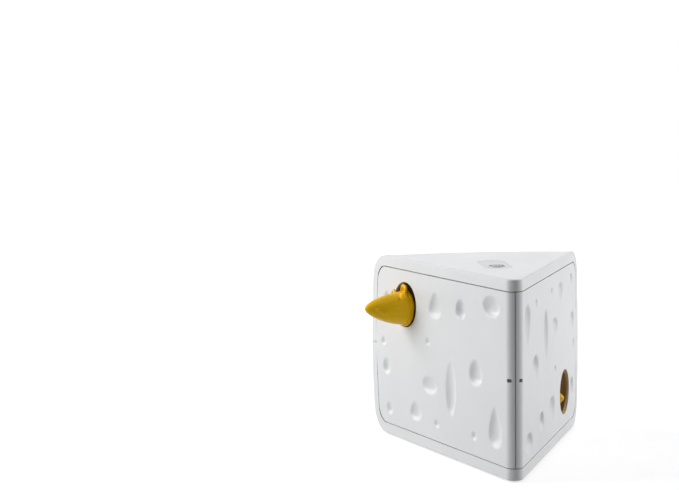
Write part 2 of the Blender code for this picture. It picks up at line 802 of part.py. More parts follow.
def build_corner_post():
    inset = PANEL_WALL + CLEARANCE
    end = BAND + LIP_WIDTH + CLEARANCE
    post = slab(end, HEIGHT - end, post_outline(inset, POST_DEPTH))
    peg_low, peg_high = WALL + CLEARANCE, CEILING - CLEARANCE
    join(post, slab(peg_low, peg_high, post_outline(SIDE_WALL + CLEARANCE, POST_PEG_DEPTH)))
    inner = NEAR_EDGE_R - inset - OVERLAP
    for angle in (LATCH_ANGLE, -LATCH_ANGLE):
        wide, tall = LATCH_WIDTH - 2 * CLEARANCE, LATCH_TALL - 2 * CLEARANCE
        join(post, latch_block(angle, wide, tall, inner, NEAR_EDGE_R - LATCH_RECESS))
    finish(post, "corner_post", BROWN_ABS)


def on_path(obj, side, axis_height, slide=0):
    """Sets a piece made in a path's own axes on its side of the toy.

    In those axes X points to the drive shaft, Y points inwards through the mouse hole and Z is up.
    """
    if side > 0:
        reshape(obj, Matrix.Diagonal((-1, 1, 1, 1)))
    hole = HOLE_FROM_APEX * Vector((side * SIN, COS, 0))
    inward = Vector((-side * COS, SIN, -math.tan(SLOPE)))
    obj.location = hole + Vector((0, APEX_Y, axis_height)) + slide * inward
    obj.rotation_euler = (0, 0, side * (math.pi / 2 - HALF_ANGLE))
    return obj


def sloped(obj):
    """Shears a piece made level so that it follows the path's slope."""
    shear = Matrix.Identity(4)
    shear[2][1] = -math.tan(SLOPE)
    return reshape(obj, shear)


def sleeve(side, axis_height, seat, guide_seat):
    """A tube round the mouse's path, with the rack's guide along it and legs to the seats below."""
    start, end = PANEL_WALL + CLEARANCE, SLEEVE_END
    outer, hole = SLEEVE_R + SLEEVE_WALL, STEM_R + 2 * CLEARANCE
    section = (
        (SLEEVE_R, end - SLEEVE_WALL),
        (hole, end - SLEEVE_WALL),
        (hole, end),
        (outer, end),
        (outer, start),
        (SLEEVE_R, start),
    )
    tube = along_y(turned(section, SLEEVE_SIDES, closed=True))
    back = SLEEVE_R + OVERLAP
    low = RACK_TALL / 2 + CLEARANCE
    channel = (
        (back, -RACK_TALL / 2),
        (GUIDE_FACE, -RACK_TALL / 2),
        (GUIDE_FACE, low),
        (RACK_ROOT, low),
        (RACK_ROOT, low + GUIDE_WALL),
        (back, low + GUIDE_WALL),
    )
    join(tube, along_y(slab(GUIDE_START, GUIDE_END, channel)))
    sloped(settle(tube))
    drop = math.tan(SLOPE)
    sink = SLEEVE_WALL * LEG_SINK_SHARE
    base = seat + CLEARANCE - axis_height
    for spot in (LEG_OUT_NEAR, LEG_OUT_FAR):
        join(tube, rod(LEG_R, base, -outer + sink - spot * drop, 0, spot, PIN_SIDES))
    spot = GUIDE_END - LEG_R * LEG_INSET_SHARE
    under = -low - GUIDE_WALL / 2 - spot * drop
    base = guide_seat + CLEARANCE - axis_height
    join(tube, rod(LEG_R, base, under, (back + RACK_ROOT) / 2, spot, PIN_SIDES))
    return on_path(settle(tube), side, axis_height)


def rack_outline():
    """The rack in plan: a straight back, and teeth that face the drive shaft."""
    half = TOOTH_PITCH / 4 - BACKLASH / 2
    tip, root = TIP_SHARE * MODULE, ROOT_SHARE * MODULE
    half_tip = half - tip * math.tan(PRESSURE)
    half_root = half + root * math.tan(PRESSURE)
    first, last = -STROKE_TEETH - 1, 1
    start = PITCH_POINT + first * TOOTH_PITCH - half_root - RACK_END
    end = PITCH_POINT + last * TOOTH_PITCH + half_root + RACK_END
    points = [(RACK_BACK, start), (RACK_ROOT, start)]
    for tooth in range(first, last + 1):
        middle = PITCH_POINT + tooth * TOOTH_PITCH
        points.append((RACK_ROOT, middle - half_root))
        points.append((RACK_PITCH_LINE + tip, middle - half_tip))
        points.append((RACK_PITCH_LINE + tip, middle + half_tip))
        points.append((RACK_ROOT, middle + half_root))
    return points + [(RACK_ROOT, end), (RACK_BACK, end)]


def rack(side, axis_height, slide):
    """The toothed rack with the arm that reaches round the sleeve and the stem that holds the head."""
    piece = slab(-RACK_TALL / 2, RACK_TALL / 2, rack_outline())
    over = RACK_TALL / 2 + CLEARANCE
    high = over + ARM_TALL
    into = RACK_TALL / 2 - OVERLAP
    arm = (
        (-ARM_BOSS, ARM_BOSS),
        (ARM_BOSS, ARM_BOSS),
        (ARM_BOSS, -over),
        (RACK_BACK + CLEARANCE, -over),
        (RACK_BACK + CLEARANCE, -into),
        (RACK_ROOT - CLEARANCE, -into),
        (RACK_ROOT - CLEARANCE, -high),
        (-ARM_BOSS, -high),
    )
    join(piece, along_y(slab(ARM_START, ARM_START + ARM_THICK, arm)))
    stem_start = -SOCKET_DEPTH + CLEARANCE
    join(piece, along_y(rod(STEM_R, stem_start, ARM_START + OVERLAP)))
    sloped(settle(piece))
    return on_path(piece, side, axis_height, slide)


def head_radius(out):
    """The head's radius at a distance out of the hole: blunt at the nose, full at the base."""
    along = (HEAD_LENGTH - out) / (HEAD_LENGTH - HEAD_BASE_OUT)
    return HEAD_BASE_R * (1 - max(1 - along, 0) ** HEAD_CURVE) ** HEAD_POWER


def head_profile():
    """From the nose's tip down to the flange's back face, as (radius, distance out)."""
    long = HEAD_LENGTH - HEAD_BASE_OUT
    points = [(0, HEAD_LENGTH)]
    for step in range(1, HEAD_RINGS + 1):
        out = HEAD_LENGTH - long * (step / HEAD_RINGS) ** HEAD_CURVE
        points.append((head_radius(out), out))
    points.append((GROOVE_R, HEAD_BASE_OUT))
    points.append((GROOVE_R, HEAD_BASE_OUT - GROOVE_WIDE))
    points.append((FLANGE_R - CLEARANCE, FLANGE_OUT + CLEARANCE))
    points.append((FLANGE_R, FLANGE_OUT))
    points.append((FLANGE_R, -FLANGE_BACK))
    points.append((0, -FLANGE_BACK))
    return points


def ball(radii, centre, tilt=0, segments=EAR_SIDES):
    """An ellipsoid with its own X, Y and Z radii, turned about Z and then moved."""
    shape = bmesh.new()
    bmesh.ops.create_uvsphere(shape, u_segments=segments, v_segments=segments // 2, radius=1)
    place = Matrix.Translation(centre) @ Matrix.Rotation(tilt, 4, "Z")
    shape.transform(place @ Matrix.Diagonal((*radii, 1)))
    return from_bmesh(shape)


def mouse_head(side, axis_height, slide):
    """A pointed head with two dished ears and a flange, bored for the rack's stem."""
    head = turned(head_profile(), HEAD_SIDES)
    for way in (1, -1):
        angle = way * EAR_SPREAD - HEAD_ROLL
        centre = (EAR_CENTRE_R * math.sin(angle), EAR_CENTRE_R * math.cos(angle), EAR_OUT)
        radii = Vector((EAR_WIDE_R, EAR_TALL_R, EAR_THICK_R))
        join(head, ball(radii, centre, -angle))
    settle(head)
    for way in (1, -1):
        angle = way * EAR_SPREAD - HEAD_ROLL
        rise = EAR_CENTRE_R + EAR_TALL_R * (1 - EAR_DISH_SHARE) / 2
        centre = (rise * math.sin(angle), rise * math.cos(angle), EAR_OUT + EAR_THICK_R)
        dish = Vector((EAR_WIDE_R, EAR_TALL_R, EAR_THICK_R)) * EAR_DISH_SHARE
        carve(head, ball(dish, centre, -angle))
        angle = way * EYE_ANGLE - HEAD_ROLL
        radius = head_radius(EYE_OUT)
        spot = (radius * math.sin(angle), radius * math.cos(angle), EYE_OUT)
        carve(head, ball((EYE_R, EYE_R, EYE_R), spot, 0, DIMPLE_SIDES // 2 + 1))
    settle(head)
    nose_out = Matrix.Rotation(math.pi / 2 - HEAD_LIFT, 4, "X")
    reshape(head, Matrix.Translation((0, 0, -HEAD_DROP)) @ nose_out)
    socket = along_y(rod(STEM_R + CLEARANCE, -SOCKET_DEPTH, FLANGE_BACK + OVERRUN))
    carve(head, sloped(socket))
    return on_path(settle(head), side, axis_height, slide)


def build_mice():
    for name, side, axis_height, slide, *seats in (
        ("upper", -1, UPPER_AXIS, 0, DECK_TOP, COVER_TOP),
        ("lower", 1, LOWER_AXIS, STROKE, WALL, WALL),
    ):
        finish(sleeve(side, axis_height, *seats), name + "_sleeve", BROWN_ABS)
        finish(rack(side, axis_height, slide), name + "_rack", NATURAL_ACETAL)
        finish(mouse_head(side, axis_height, slide), name + "_mouse_head", YELLOW_ABS)


def involute(angle):
    return math.tan(angle) - angle


def gear_outline(teeth, facing, tooth_there):
    """A spur gear with a tooth, or a gap, centred on the direction that it faces its neighbour."""
    pitch = MODULE * teeth / 2
    base = pitch * math.cos(PRESSURE)
    half_pitch = math.pi / (2 * teeth) - BACKLASH / (2 * pitch)
    radii = (pitch - ROOT_SHARE * MODULE, pitch + TIP_SHARE * MODULE)
    halves = []
    for radius in radii:
        rolled = math.acos(base / max(radius, base))
        halves.append(half_pitch + involute(PRESSURE) - involute(rolled))
    phase = facing if tooth_there else facing + math.pi / teeth
    points = []
    for tooth in range(teeth):
        middle = phase + 2 * math.pi * tooth / teeth
        flank = list(zip(radii, halves))
        for radius, half in flank:
            points.append((radius * math.cos(middle - half), radius * math.sin(middle - half)))
        for radius, half in reversed(flank):
            points.append((radius * math.cos(middle + half), radius * math.sin(middle + half)))
    return points


def gear(teeth, facing, tooth_there, low, face, bore):
    outline = gear_outline(teeth, facing, tooth_there)
    return slab(low, low + face, outline, circle(bore, BORE_SIDES))


def at_y(obj, y):
    settle(obj).location.y = y
    return obj


def at_z(obj, z):
    obj.location.z = z
    return obj


NORTH = math.pi / 2
SOUTH = -math.pi / 2


def build_drive():
    """The upright shaft with its two pinions and the large gear."""
    finish(rod(SHAFT_R, WALL + 3 * CLEARANCE, CEILING - CLEARANCE), "drive_shaft", STEEL)
    bore = SHAFT_R + RUNNING_GAP
    for name, side, axis_height in (("upper", -1, UPPER_AXIS), ("lower", 1, LOWER_AXIS)):
        middle = axis_height - PITCH_POINT * math.tan(SLOPE)
        facing = math.pi / 2 - side * HALF_ANGLE
        low = middle - PINION_FACE / 2
        pinion = gear(PINION_TEETH, facing, False, low, PINION_FACE, bore)
        finish(pinion, name + "_pinion", BLACK_ACETAL)
    level = GEAR_LEVELS[2]
    wheel = gear(DRIVE_TEETH, SOUTH, False, level, GEAR_FACE, bore)
    hub_low = DECK_TOP + CLEARANCE
    hub = slab(hub_low, level + OVERLAP, circle(DRIVE_HUB_R, BORE_SIDES), circle(bore, BORE_SIDES))
    finish(join(wheel, hub), "drive_gear", NATURAL_ACETAL)


def compound_gear(level, large_tooth, small_tooth):
    """A wheel with a smaller gear above it and a hub below, all on one axle."""
    bore = AXLE_R + RUNNING_GAP
    low = GEAR_LEVELS[level]
    piece = gear(WHEEL_TEETH, SOUTH, large_tooth, low, GEAR_FACE, bore)
    small_low = low + GEAR_FACE - OVERLAP
    small_face = LEVEL_STEP + OVERLAP
    small = gear(SMALL_TEETH, NORTH, small_tooth, small_low, small_face, bore)
    hub_rings = circle(HUB_R, BORE_SIDES), circle(bore, BORE_SIDES)
    hub = slab(DECK_TOP + CLEARANCE, low + OVERLAP, *hub_rings)
    return settle(join(piece, small, hub))


def build_reduction():
    finish(at_y(compound_gear(1, True, True), WHEEL_2_Y), "reduction_gear_2", NATURAL_ACETAL)
    finish(at_y(compound_gear(0, True, False), WHEEL_1_Y), "reduction_gear_1", NATURAL_ACETAL)
    for name, y in (("idler_axle_1", WHEEL_1_Y), ("idler_axle_2", WHEEL_2_Y)):
        axle = rod(AXLE_R, DECK_BOTTOM + CLEARANCE, COVER_TOP - CLEARANCE)
        finish(at_y(axle, y), name, STEEL)
    level = GEAR_LEVELS[0]
    bore = MOTOR_SHAFT_R + RUNNING_GAP
    pinion = gear(MOTOR_TEETH, NORTH, False, level, GEAR_FACE, bore)
    finish(at_y(pinion, MOTOR_Y), "motor_pinion", BRASS)
    shaft = rod(MOTOR_SHAFT_R, DECK_BOTTOM - OVERRUN, level + GEAR_FACE + CLEARANCE)
    finish(at_y(shaft, MOTOR_Y), "motor_shaft", STEEL)


def build_motor():
    top = DECK_BOTTOM - CLEARANCE
    bottom = top - MOTOR_LONG
    nose = MOTOR_NOSE_R - CLEARANCE
    edge = TOP_EDGE_R
    profile = (
        (MOTOR_SHAFT_R + RUNNING_GAP, DECK_TOP),
        (nose, DECK_TOP),
        (nose, top),
        (MOTOR_R - edge, top),
        (MOTOR_R, top - edge),
        (MOTOR_R, bottom + edge),
        (MOTOR_R - edge, bottom),
        (MOTOR_TAIL_R, bottom),
        (MOTOR_TAIL_R, bottom - MOTOR_TAIL),
        (0, bottom - MOTOR_TAIL),
        (0, DECK_BOTTOM - OVERRUN - CLEARANCE),
        (MOTOR_SHAFT_R + RUNNING_GAP, DECK_BOTTOM - OVERRUN - CLEARANCE),
    )
    can = turned(profile, MOTOR_SIDES, closed=True)
    flats = []
    for way in (1, -1):
        middle = way * MOTOR_R * (MOTOR_FLAT_SHARE + 1 / 2)
        block = rectangle(MOTOR_R, 3 * MOTOR_R, middle, 0)
        flats.append(slab(bottom - OVERRUN, top + OVERLAP, block))
    carve(can, *flats)
    finish(at_y(can, MOTOR_Y), "motor", STEEL)


def deck_outline():
    """The housing's plan drawn in to clear its walls, cut straight across in front."""
    points = wedge_outline(SIDE_WALL + DECK_MARGIN, rim_inset(MID - DECK_BOTTOM) + WALL + DECK_MARGIN)
    front = APEX_Y + NEAR_COLUMN_FROM_APEX + COLUMN_R + DECK_MARGIN
    edge = (front - APEX_Y - (SIDE_WALL + DECK_MARGIN) / SIN) * math.tan(HALF_ANGLE)
    kept = [(x, y) for x, y in points if y > front]
    right = [point for point in kept if point[0] >= 0]
    left = [point for point in kept if point[0] < 0]
    return [(edge, front)] + right + left + [(-edge, front)]


def cover_legs():
    reach = COVER_R - COVER_LEG_R - CLEARANCE
    lean = COVER_LEG_LEAN
    rear = [(way * reach * math.cos(lean), reach * math.sin(lean)) for way in (1, -1)]
    nose = COVER_NOSE_R - COVER_LEG_R - CLEARANCE
    front = [(way * nose * math.cos(lean), WHEEL_1_Y - nose * math.sin(lean)) for way in (1, -1)]
    return rear + front


def cover_outline():
    """A belt round two circles, one over the large gear and one over the motor's end."""
    span = -WHEEL_1_Y
    lean = math.asin((COVER_R - COVER_NOSE_R) / span)
    points = []
    steps = BORE_SIDES
    for step in range(steps + 1):
        angle = -lean + (math.pi + 2 * lean) * step / steps
        points.append((COVER_R * math.cos(angle), COVER_R * math.sin(angle)))
    for step in range(steps + 1):
        angle = math.pi + lean + (math.pi - 2 * lean) * step / steps
        x, y = COVER_NOSE_R * math.cos(angle), COVER_NOSE_R * math.sin(angle)
        points.append((x, WHEEL_1_Y + y))
    return points


def build_deck():
    holes = [circle(PEDESTAL_PILOT_R, PIN_SIDES, x, y) for x, y in PEDESTALS]
    holes += [circle(COLUMN_R + CLEARANCE, BORE_SIDES, x, y) for x, y in COLUMNS[1:]]
    holes.append(circle(SHAFT_R + 2 * CLEARANCE, BORE_SIDES))
    holes += [circle(AXLE_R + 2 * RUNNING_GAP, PIN_SIDES, 0, y) for y in (WHEEL_1_Y, WHEEL_2_Y)]
    holes.append(circle(MOTOR_NOSE_R, BORE_SIDES, 0, MOTOR_Y))
    holes += [circle(PEDESTAL_PILOT_R, PIN_SIDES, x, y) for x, y in cover_legs()]
    deck = slab(DECK_BOTTOM, DECK_TOP, deck_outline(), *holes)
    finish(deck, "mechanism_deck", PALE_GREY)


def build_gear_cover():
    holes = [circle(SHAFT_R + 2 * CLEARANCE, BORE_SIDES)]
    holes += [circle(AXLE_R + 2 * RUNNING_GAP, PIN_SIDES, 0, y) for y in (WHEEL_1_Y, WHEEL_2_Y)]
    cover = slab(COVER_BOTTOM, COVER_TOP, cover_outline(), *holes)
    low, high = DECK_TOP + CLEARANCE, COVER_BOTTOM + OVERLAP
    for x, y in cover_legs():
        join(cover, rod(COVER_LEG_R, low, high, x, y, PIN_SIDES))
    for x, y in cover_legs():
        carve(cover, rod(PEDESTAL_PILOT_R, low - OVERRUN, low + DECK_SCREW_LONG, x, y, PIN_SIDES))
    finish(cover, "gear_cover", PALE_GREY)


def build_bushes():
    rings = circle(BUSH_R, BORE_SIDES), circle(SHAFT_R + RUNNING_GAP, BORE_SIDES)
    low = WALL + 2 * CLEARANCE
    finish(slab(low, low + BUSH_LONG - CLEARANCE, *rings), "shaft_bush_lower", BRASS)
    high = CEILING - CLEARANCE
    finish(slab(high - BUSH_LONG + CLEARANCE, high, *rings), "shaft_bush_upper", BRASS)


def screw(shank_r, long, head_r, head):
    """An upright pan head screw with its seat at the origin."""
    rim = head_r - SLOT_DEEP / 2
    profile = ((0, head), (rim, head), (head_r, 0), (shank_r, 0), (shank_r, -long), (0, -long))
    return turned(profile, SCREW_SIDES)


def inverted_screw(shank_r, long, head_r, head):
    """A screw driven from below, with a cross slot that can be seen."""
    piece = screw(shank_r, long, head_r, head)
    arms = (SLOT_WIDE, 2 * head_r * SLOT_SHARE)
    for outline in (rectangle(*arms), rectangle(*reversed(arms))):
        carve(piece, slab(head - SLOT_DEEP, head + OVERRUN, outline))
    return reshape(settle(piece), Matrix.Rotation(math.pi, 4, "X"))


def build_screws():
    for number, (x, y) in enumerate(COLUMNS, 1):
        piece = inverted_screw(SCREW_R, SCREW_LONG, SCREW_HEAD_R, SCREW_HEAD)
        piece.location = (x, y, column_screw_top() - CLEARANCE)
        finish(piece, f"housing_screw_{number}", STEEL)
    sizes = (DECK_SCREW_R, DECK_SCREW_LONG, DECK_SCREW_HEAD_R, DECK_SCREW_HEAD)
    for number, (x, y) in enumerate(PEDESTALS, 1):
        piece = screw(*sizes)
        piece.location = (x, y, DECK_TOP + CLEARANCE)
        finish(piece, f"deck_screw_{number}", STEEL)
    for number, (x, y) in enumerate(cover_legs(), 1):
        piece = reshape(screw(*sizes), Matrix.Rotation(math.pi, 4, "X"))
        piece.location = (x, y, DECK_BOTTOM - CLEARANCE)
        finish(piece, f"cover_screw_{number}", STEEL)


def build_button():
    """A round button with a flange below the top plate and a stem that reaches the switch."""
    top = HEIGHT + BUTTON_PROUD
    flange = CEILING - CLEARANCE
    under = flange - BUTTON_FLANGE
    profile = (
        (0, top),
        (BUTTON_R - BUTTON_EDGE, top),
        (BUTTON_R - BUTTON_EDGE / 3, top - BUTTON_EDGE / 3),
        (BUTTON_R, top - BUTTON_EDGE),
        (BUTTON_R, flange),
        (BUTTON_FLANGE_R, flange),
        (BUTTON_FLANGE_R, under),
        (BUTTON_STEM_R, under),
        (BUTTON_STEM_R, under - BUTTON_STEM),
        (0, under - BUTTON_STEM),
    )
    finish(at_y(turned(profile, BUTTON_SIDES), BUTTON_Y), "power_button", PALE_GREY)
    low = HEIGHT - PAD_RECESS + CLEARANCE
    fit = 2 * CLEARANCE
    edge = rounded_rectangle(PAD_WIDE - fit, PAD_LONG - fit, PAD_CORNER_R - CLEARANCE, 0, PAD_Y)
    hole = circle(BUTTON_R + CLEARANCE, BUTTON_HOLE_SIDES, 0, BUTTON_Y)
    finish(slab(low, low + PAD_THICK, edge, hole), "button_pad", PALE_GREY)


def board_corners():
    wide = BOARD_WIDE / 2 - BOARD_BOSS_INSET
    long = BOARD_LONG / 2 - BOARD_BOSS_INSET
    return [(x * wide, PAD_Y + y * long) for x, y in ((1, 1), (-1, 1), (-1, -1), (1, -1))]


def build_board():
    edge = rectangle(BOARD_WIDE, BOARD_LONG, 0, PAD_Y)
    holes = [circle(PEDESTAL_PILOT_R, PIN_SIDES, x, y) for x, y in board_corners()]
    finish(slab(BOARD_TOP - BOARD_THICK, BOARD_TOP, edge, *holes), "circuit_board", BOARD_GREEN)
    under = CEILING - CLEARANCE - BUTTON_FLANGE - BUTTON_STEM
    body_top = under - 3 * CLEARANCE - BUTTON_TRAVEL
    body = slab(BOARD_TOP + CLEARANCE, body_top, rectangle(SWITCH_SIDE, SWITCH_SIDE))
    plunger = rod(BUTTON_STEM_R / 2, BOARD_TOP + 2 * CLEARANCE, under - BUTTON_TRAVEL - CLEARANCE)
    finish(at_y(join(body, plunger), BUTTON_Y), "button_switch", BLACK_ABS)


def door_outline(margin):
    """The battery opening's plan about its middle: a rectangle with a tab for the screw."""
    half, long, tab = TRAY_WIDE / 2 + margin, TRAY_LONG / 2 + margin, TAB_WIDE / 2 + margin
    end = TRAY_LONG / 2 + TAB_LONG + margin
    right = [(half, -long), (half, long), (tab, long), (tab, end)]
    return right + [(-x, y) for x, y in reversed(right)]


def build_battery_box():
    low = WALL + CLEARANCE
    wide, long = TRAY_WIDE + 2 * CLEARANCE, TRAY_LONG
    outer = rectangle(wide + 2 * TRAY_WALL, long + 2 * TRAY_WALL, 0, TRAY_Y)
    tray = slab(low, TRAY_ROOF + TRAY_WALL, outer)
    boss_wide, boss_long = TAB_WIDE + 2 * TRAY_WALL, TAB_LONG + 2 * TRAY_WALL
    boss_y = TRAY_Y + TRAY_LONG / 2 + boss_long / 2
    join(tray, slab(low, low + TAB_TALL, rectangle(boss_wide, boss_long, 0, boss_y)))
    carve(tray, slab(low - OVERRUN, TRAY_ROOF, rectangle(wide, long, 0, TRAY_Y)))
    carve(tray, rod(SCREW_R + RUNNING_GAP, low - OVERRUN, low + TAB_PILOT, 0, TRAY_Y + TAB_Y))
    finish(tray, "battery_tray", WHITE_ABS)
    axis_height = WALL + 2 * CLEARANCE + CELL_R
    for number in range(CELL_COUNT):
        x = CELL_PITCH * (number - (CELL_COUNT - 1) / 2)
        profile = (
            (0, CELL_LONG / 2 + CELL_NIB),
            (CELL_NIB_R, CELL_LONG / 2 + CELL_NIB),
            (CELL_NIB_R, CELL_LONG / 2),
            (CELL_R, CELL_LONG / 2),
            (CELL_R, -CELL_LONG / 2),
            (0, -CELL_LONG / 2),
        )
        cell = along_y(turned(profile, CELL_SIDES))
        cell.location = (x, TRAY_Y, axis_height)
        cell.rotation_euler = (0, 0, math.pi * (number % 2))
        finish(cell, f"battery_cell_{number + 1}", CELL_JACKET)
    for name, way in (("far", 1), ("near", -1)):
        plate_y = way * (TRAY_LONG / 2 - CLEARANCE - CONTACT_THICK / 2)
        strip = rectangle(TRAY_WIDE - 2 * CLEARANCE, CONTACT_THICK, 0, plate_y)
        plate = slab(low + CLEARANCE, low + CLEARANCE + CONTACT_TALL, strip)
        for number in range(CELL_COUNT):
            x = CELL_PITCH * (number - (CELL_COUNT - 1) / 2)
            nib = CELL_NIB if (number % 2 == 0) == (way > 0) else 0
            inner = CELL_LONG / 2 + nib + CLEARANCE
            outer = TRAY_LONG / 2 - CLEARANCE - CONTACT_THICK / 2
            bump = along_y(rod(CONTACT_SPRING_R, inner, outer, 0, 0, PIN_SIDES))
            turn = Matrix.Rotation(0 if way > 0 else math.pi, 4, "Z")
            place = Matrix.Translation((x, 0, axis_height))
            join(plate, reshape(bump, place @ turn))
        finish(at_y(plate, TRAY_Y), f"battery_contacts_{name}", STEEL)


def build_battery_door():
    """A flat cover, flush with the underside, with finger grooves and a screw at its tab."""
    low, high = DOOR_SINK, DOOR_SINK + DOOR_THICK
    door = slab(low, high, door_outline(0))
    for number in range(DOOR_GRIP_COUNT):
        y = DOOR_GRIP_PITCH * number - TRAY_LONG / 4
        groove = rectangle(DOOR_GRIP_LONG, DOOR_GRIP_WIDE, 0, y)
        carve(door, slab(low - OVERRUN, low + DOOR_GRIP_DEEP, groove))
    seat = low + DOOR_THICK - DOOR_SCREW_SEAT
    carve(door, rod(DOOR_SCREW_WELL_R, low - OVERRUN, seat, 0, TAB_Y))
    carve(door, rod(SCREW_R + CLEARANCE, low, high + OVERRUN, 0, TAB_Y))
    finish(at_y(door, TRAY_Y), "battery_door", WHITE_ABS)
    piece = inverted_screw(SCREW_R, DOOR_SCREW_LONG, DOOR_SCREW_HEAD_R, DOOR_SCREW_HEAD)
    finish(at_z(at_y(piece, TRAY_Y + TAB_Y), seat - CLEARANCE / 2), "battery_door_screw", STEEL)


def build_feet():
    for name, x, y in FEET:
        top = FOOT_THICK - FOOT_STAND
        profile = (
            (0, top),
            (FOOT_R, top),
            (FOOT_R, -FOOT_STAND + FOOT_EDGE),
            (FOOT_R - FOOT_EDGE, -FOOT_STAND),
            (0, -FOOT_STAND),
        )
        foot = turned(profile, FOOT_SIDES)
        foot.location = (x, y, 0)
        finish(foot, name, RUBBER)


def stand_on_feet():
    """Carries every piece from the drive shaft's frame to the near foot's."""
    carrier = bpy.data.objects.new("drive_shaft_on_underside", None)
    TOY.objects.link(carrier)
    carrier.location = (0, APEX_TO_SHAFT - NEAR_FOOT_FROM_APEX, FOOT_STAND)
    for obj in TOY.objects:
        if obj is not carrier:
            obj.parent = carrier


build_top_shell()
build_bottom_shell()
build_panels()
build_corner_post()
build_mice()
build_drive()
build_reduction()
build_motor()
build_deck()
build_gear_cover()
build_bushes()
build_screws()
build_button()
build_board()
build_battery_box()
build_battery_door()
build_feet()
stand_on_feet()
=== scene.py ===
# %% [markdown]
# # A cheese wedge toy with two mice
# This notebook dresses the finished mechanical model of a cat toy: a white wedge of moulded
# plastic with dimples like the holes in cheese, and two yellow mouse heads that slide in and out.
# The mechanical model fixes every size. Here each visible piece gets its final surface, its
# material, the light and the camera. Lengths are in metres, and Z is up.

# %% Load the mechanical model
import math

import bmesh
import bpy
from mathutils import Matrix, Vector


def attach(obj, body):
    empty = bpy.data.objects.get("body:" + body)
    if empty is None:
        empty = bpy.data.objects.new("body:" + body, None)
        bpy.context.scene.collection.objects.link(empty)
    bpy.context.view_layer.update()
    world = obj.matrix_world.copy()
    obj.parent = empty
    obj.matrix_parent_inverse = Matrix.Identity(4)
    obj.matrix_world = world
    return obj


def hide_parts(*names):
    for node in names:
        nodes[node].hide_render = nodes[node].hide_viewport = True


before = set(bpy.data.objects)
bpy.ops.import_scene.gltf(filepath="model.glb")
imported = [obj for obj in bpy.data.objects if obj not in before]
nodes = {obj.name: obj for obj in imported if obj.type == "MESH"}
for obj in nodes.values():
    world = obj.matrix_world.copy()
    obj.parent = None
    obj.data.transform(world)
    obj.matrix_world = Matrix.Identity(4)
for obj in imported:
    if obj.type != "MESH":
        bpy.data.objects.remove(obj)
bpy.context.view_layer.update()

scene = bpy.context.scene

# %% [markdown]
# ## The camera first
# The photograph was taken from a little above the toy, with the near corner to the right of the
# picture's middle. A real camera is found by matching corners that can be measured both on the
# toy and in the picture. Here it is placed from such a match: where it stands, the point
# that it looks at, a small roll and the lens.

# %% Place the camera
CAMERA_PLACE = Vector((-0.26552, -1.58425, 0.39300))
CAMERA_AIM = Vector((-0.16151, 0.00359, 0.22579))
CAMERA_ROLL = math.radians(-0.76)
CAMERA_LENS_MM = 90.53

camera_data = bpy.data.cameras.new("camera")
camera_data.lens = CAMERA_LENS_MM
camera = bpy.data.objects.new("camera", camera_data)
scene.collection.objects.link(camera)
camera.location = CAMERA_PLACE
look = (CAMERA_AIM - CAMERA_PLACE).to_track_quat("-Z", "Y").to_matrix()
camera.rotation_euler = (look @ Matrix.Rotation(CAMERA_ROLL, 3, "Z")).to_euler()
bpy.context.scene.camera = camera
print("camera distance:", round((CAMERA_AIM - CAMERA_PLACE).length, 3), "m")

# %% [markdown]
# ## Soft studio light
# The two flat sides are bright and the rounded near corner between them is dark, so the light
# comes from soft boxes high on the left and on the right, with little from the front. They stand
# a little behind the near corner, so they graze the sides and bring out the dimples: the wall of
# a dimple that leans away from its lamp is dark, and the far wall is bright. One overhead lights
# the top and the upper side of the mouse, and one at the back lights the rind. Area lamps do
# this, because their size sets how soft a shadow is.

# %% Lamps
def soft_box(name, place, target, wide, tall, power):
    """A rectangular lamp that faces a point."""
    data = bpy.data.lights.new(name, "AREA")
    data.shape = "RECTANGLE"
    data.size = wide
    data.size_y = tall
    data.energy = power
    lamp = bpy.data.objects.new(name, data)
    scene.collection.objects.link(lamp)
    lamp.location = place
    aim = Vector(target) - Vector(place)
    lamp.rotation_euler = aim.to_track_quat("-Z", "Y").to_euler()


TOY_MIDDLE = (0, 0.10, 0.10)
soft_box("left_box", (-1.72, 0.56, 1.00), TOY_MIDDLE, 1.5, 1.4, 36)
soft_box("right_box", (1.88, 0.28, 0.76), TOY_MIDDLE, 0.8, 0.9, 24)
soft_box("top_box", (-0.2, -0.25, 2.10), TOY_MIDDLE, 0.9, 0.9, 4)
soft_box("back_box", (0.2, 2.10, 0.90), TOY_MIDDLE, 1.4, 1.0, 3)

# %% [markdown]
# ## A white world
# The background is plain white. The world is white where the camera, a mirror or glass looks at
# it, and a dim grey where it lights things, so the white picture adds no light to the toy. Two
# math nodes tell from the kind of ray which of the two it is.

# %% A world that is white but adds little light
WORLD_FILL = 0.085
scene.view_settings.view_transform = "Standard"


def link(tree, source, target):
    tree.links.new(source, target)


def combine(tree, operation, first, second):
    """One number made from two, such as the larger of them or their product."""
    node = tree.nodes.new("ShaderNodeMath")
    node.operation = operation
    link(tree, first, node.inputs[0])
    link(tree, second, node.inputs[1])
    return node.outputs[0]


def spread(tree, value, low, high, span=(0.3, 0.7), kind="LINEAR"):
    """Stretches a span of a value to run from low to high. Both ends may be sockets."""
    node = tree.nodes.new("ShaderNodeMapRange")
    node.interpolation_type = kind
    node.inputs["From Min"].default_value = span[0]
    node.inputs["From Max"].default_value = span[1]
    link(tree, value, node.inputs["Value"])
    for name, end in (("To Min", low), ("To Max", high)):
        if isinstance(end, (int, float)):
            node.inputs[name].default_value = end
        else:
            link(tree, end, node.inputs[name])
    return node.outputs["Result"]


def seen_directly(tree):
    """1 for rays from the camera, a mirror or glass, and 0 for rays that light things."""
    rays = tree.nodes.new("ShaderNodeLightPath").outputs
    mirrored = combine(tree, "MAXIMUM", rays["Is Camera Ray"], rays["Is Glossy Ray"])
    return combine(tree, "MAXIMUM", mirrored, rays["Is Transmission Ray"])


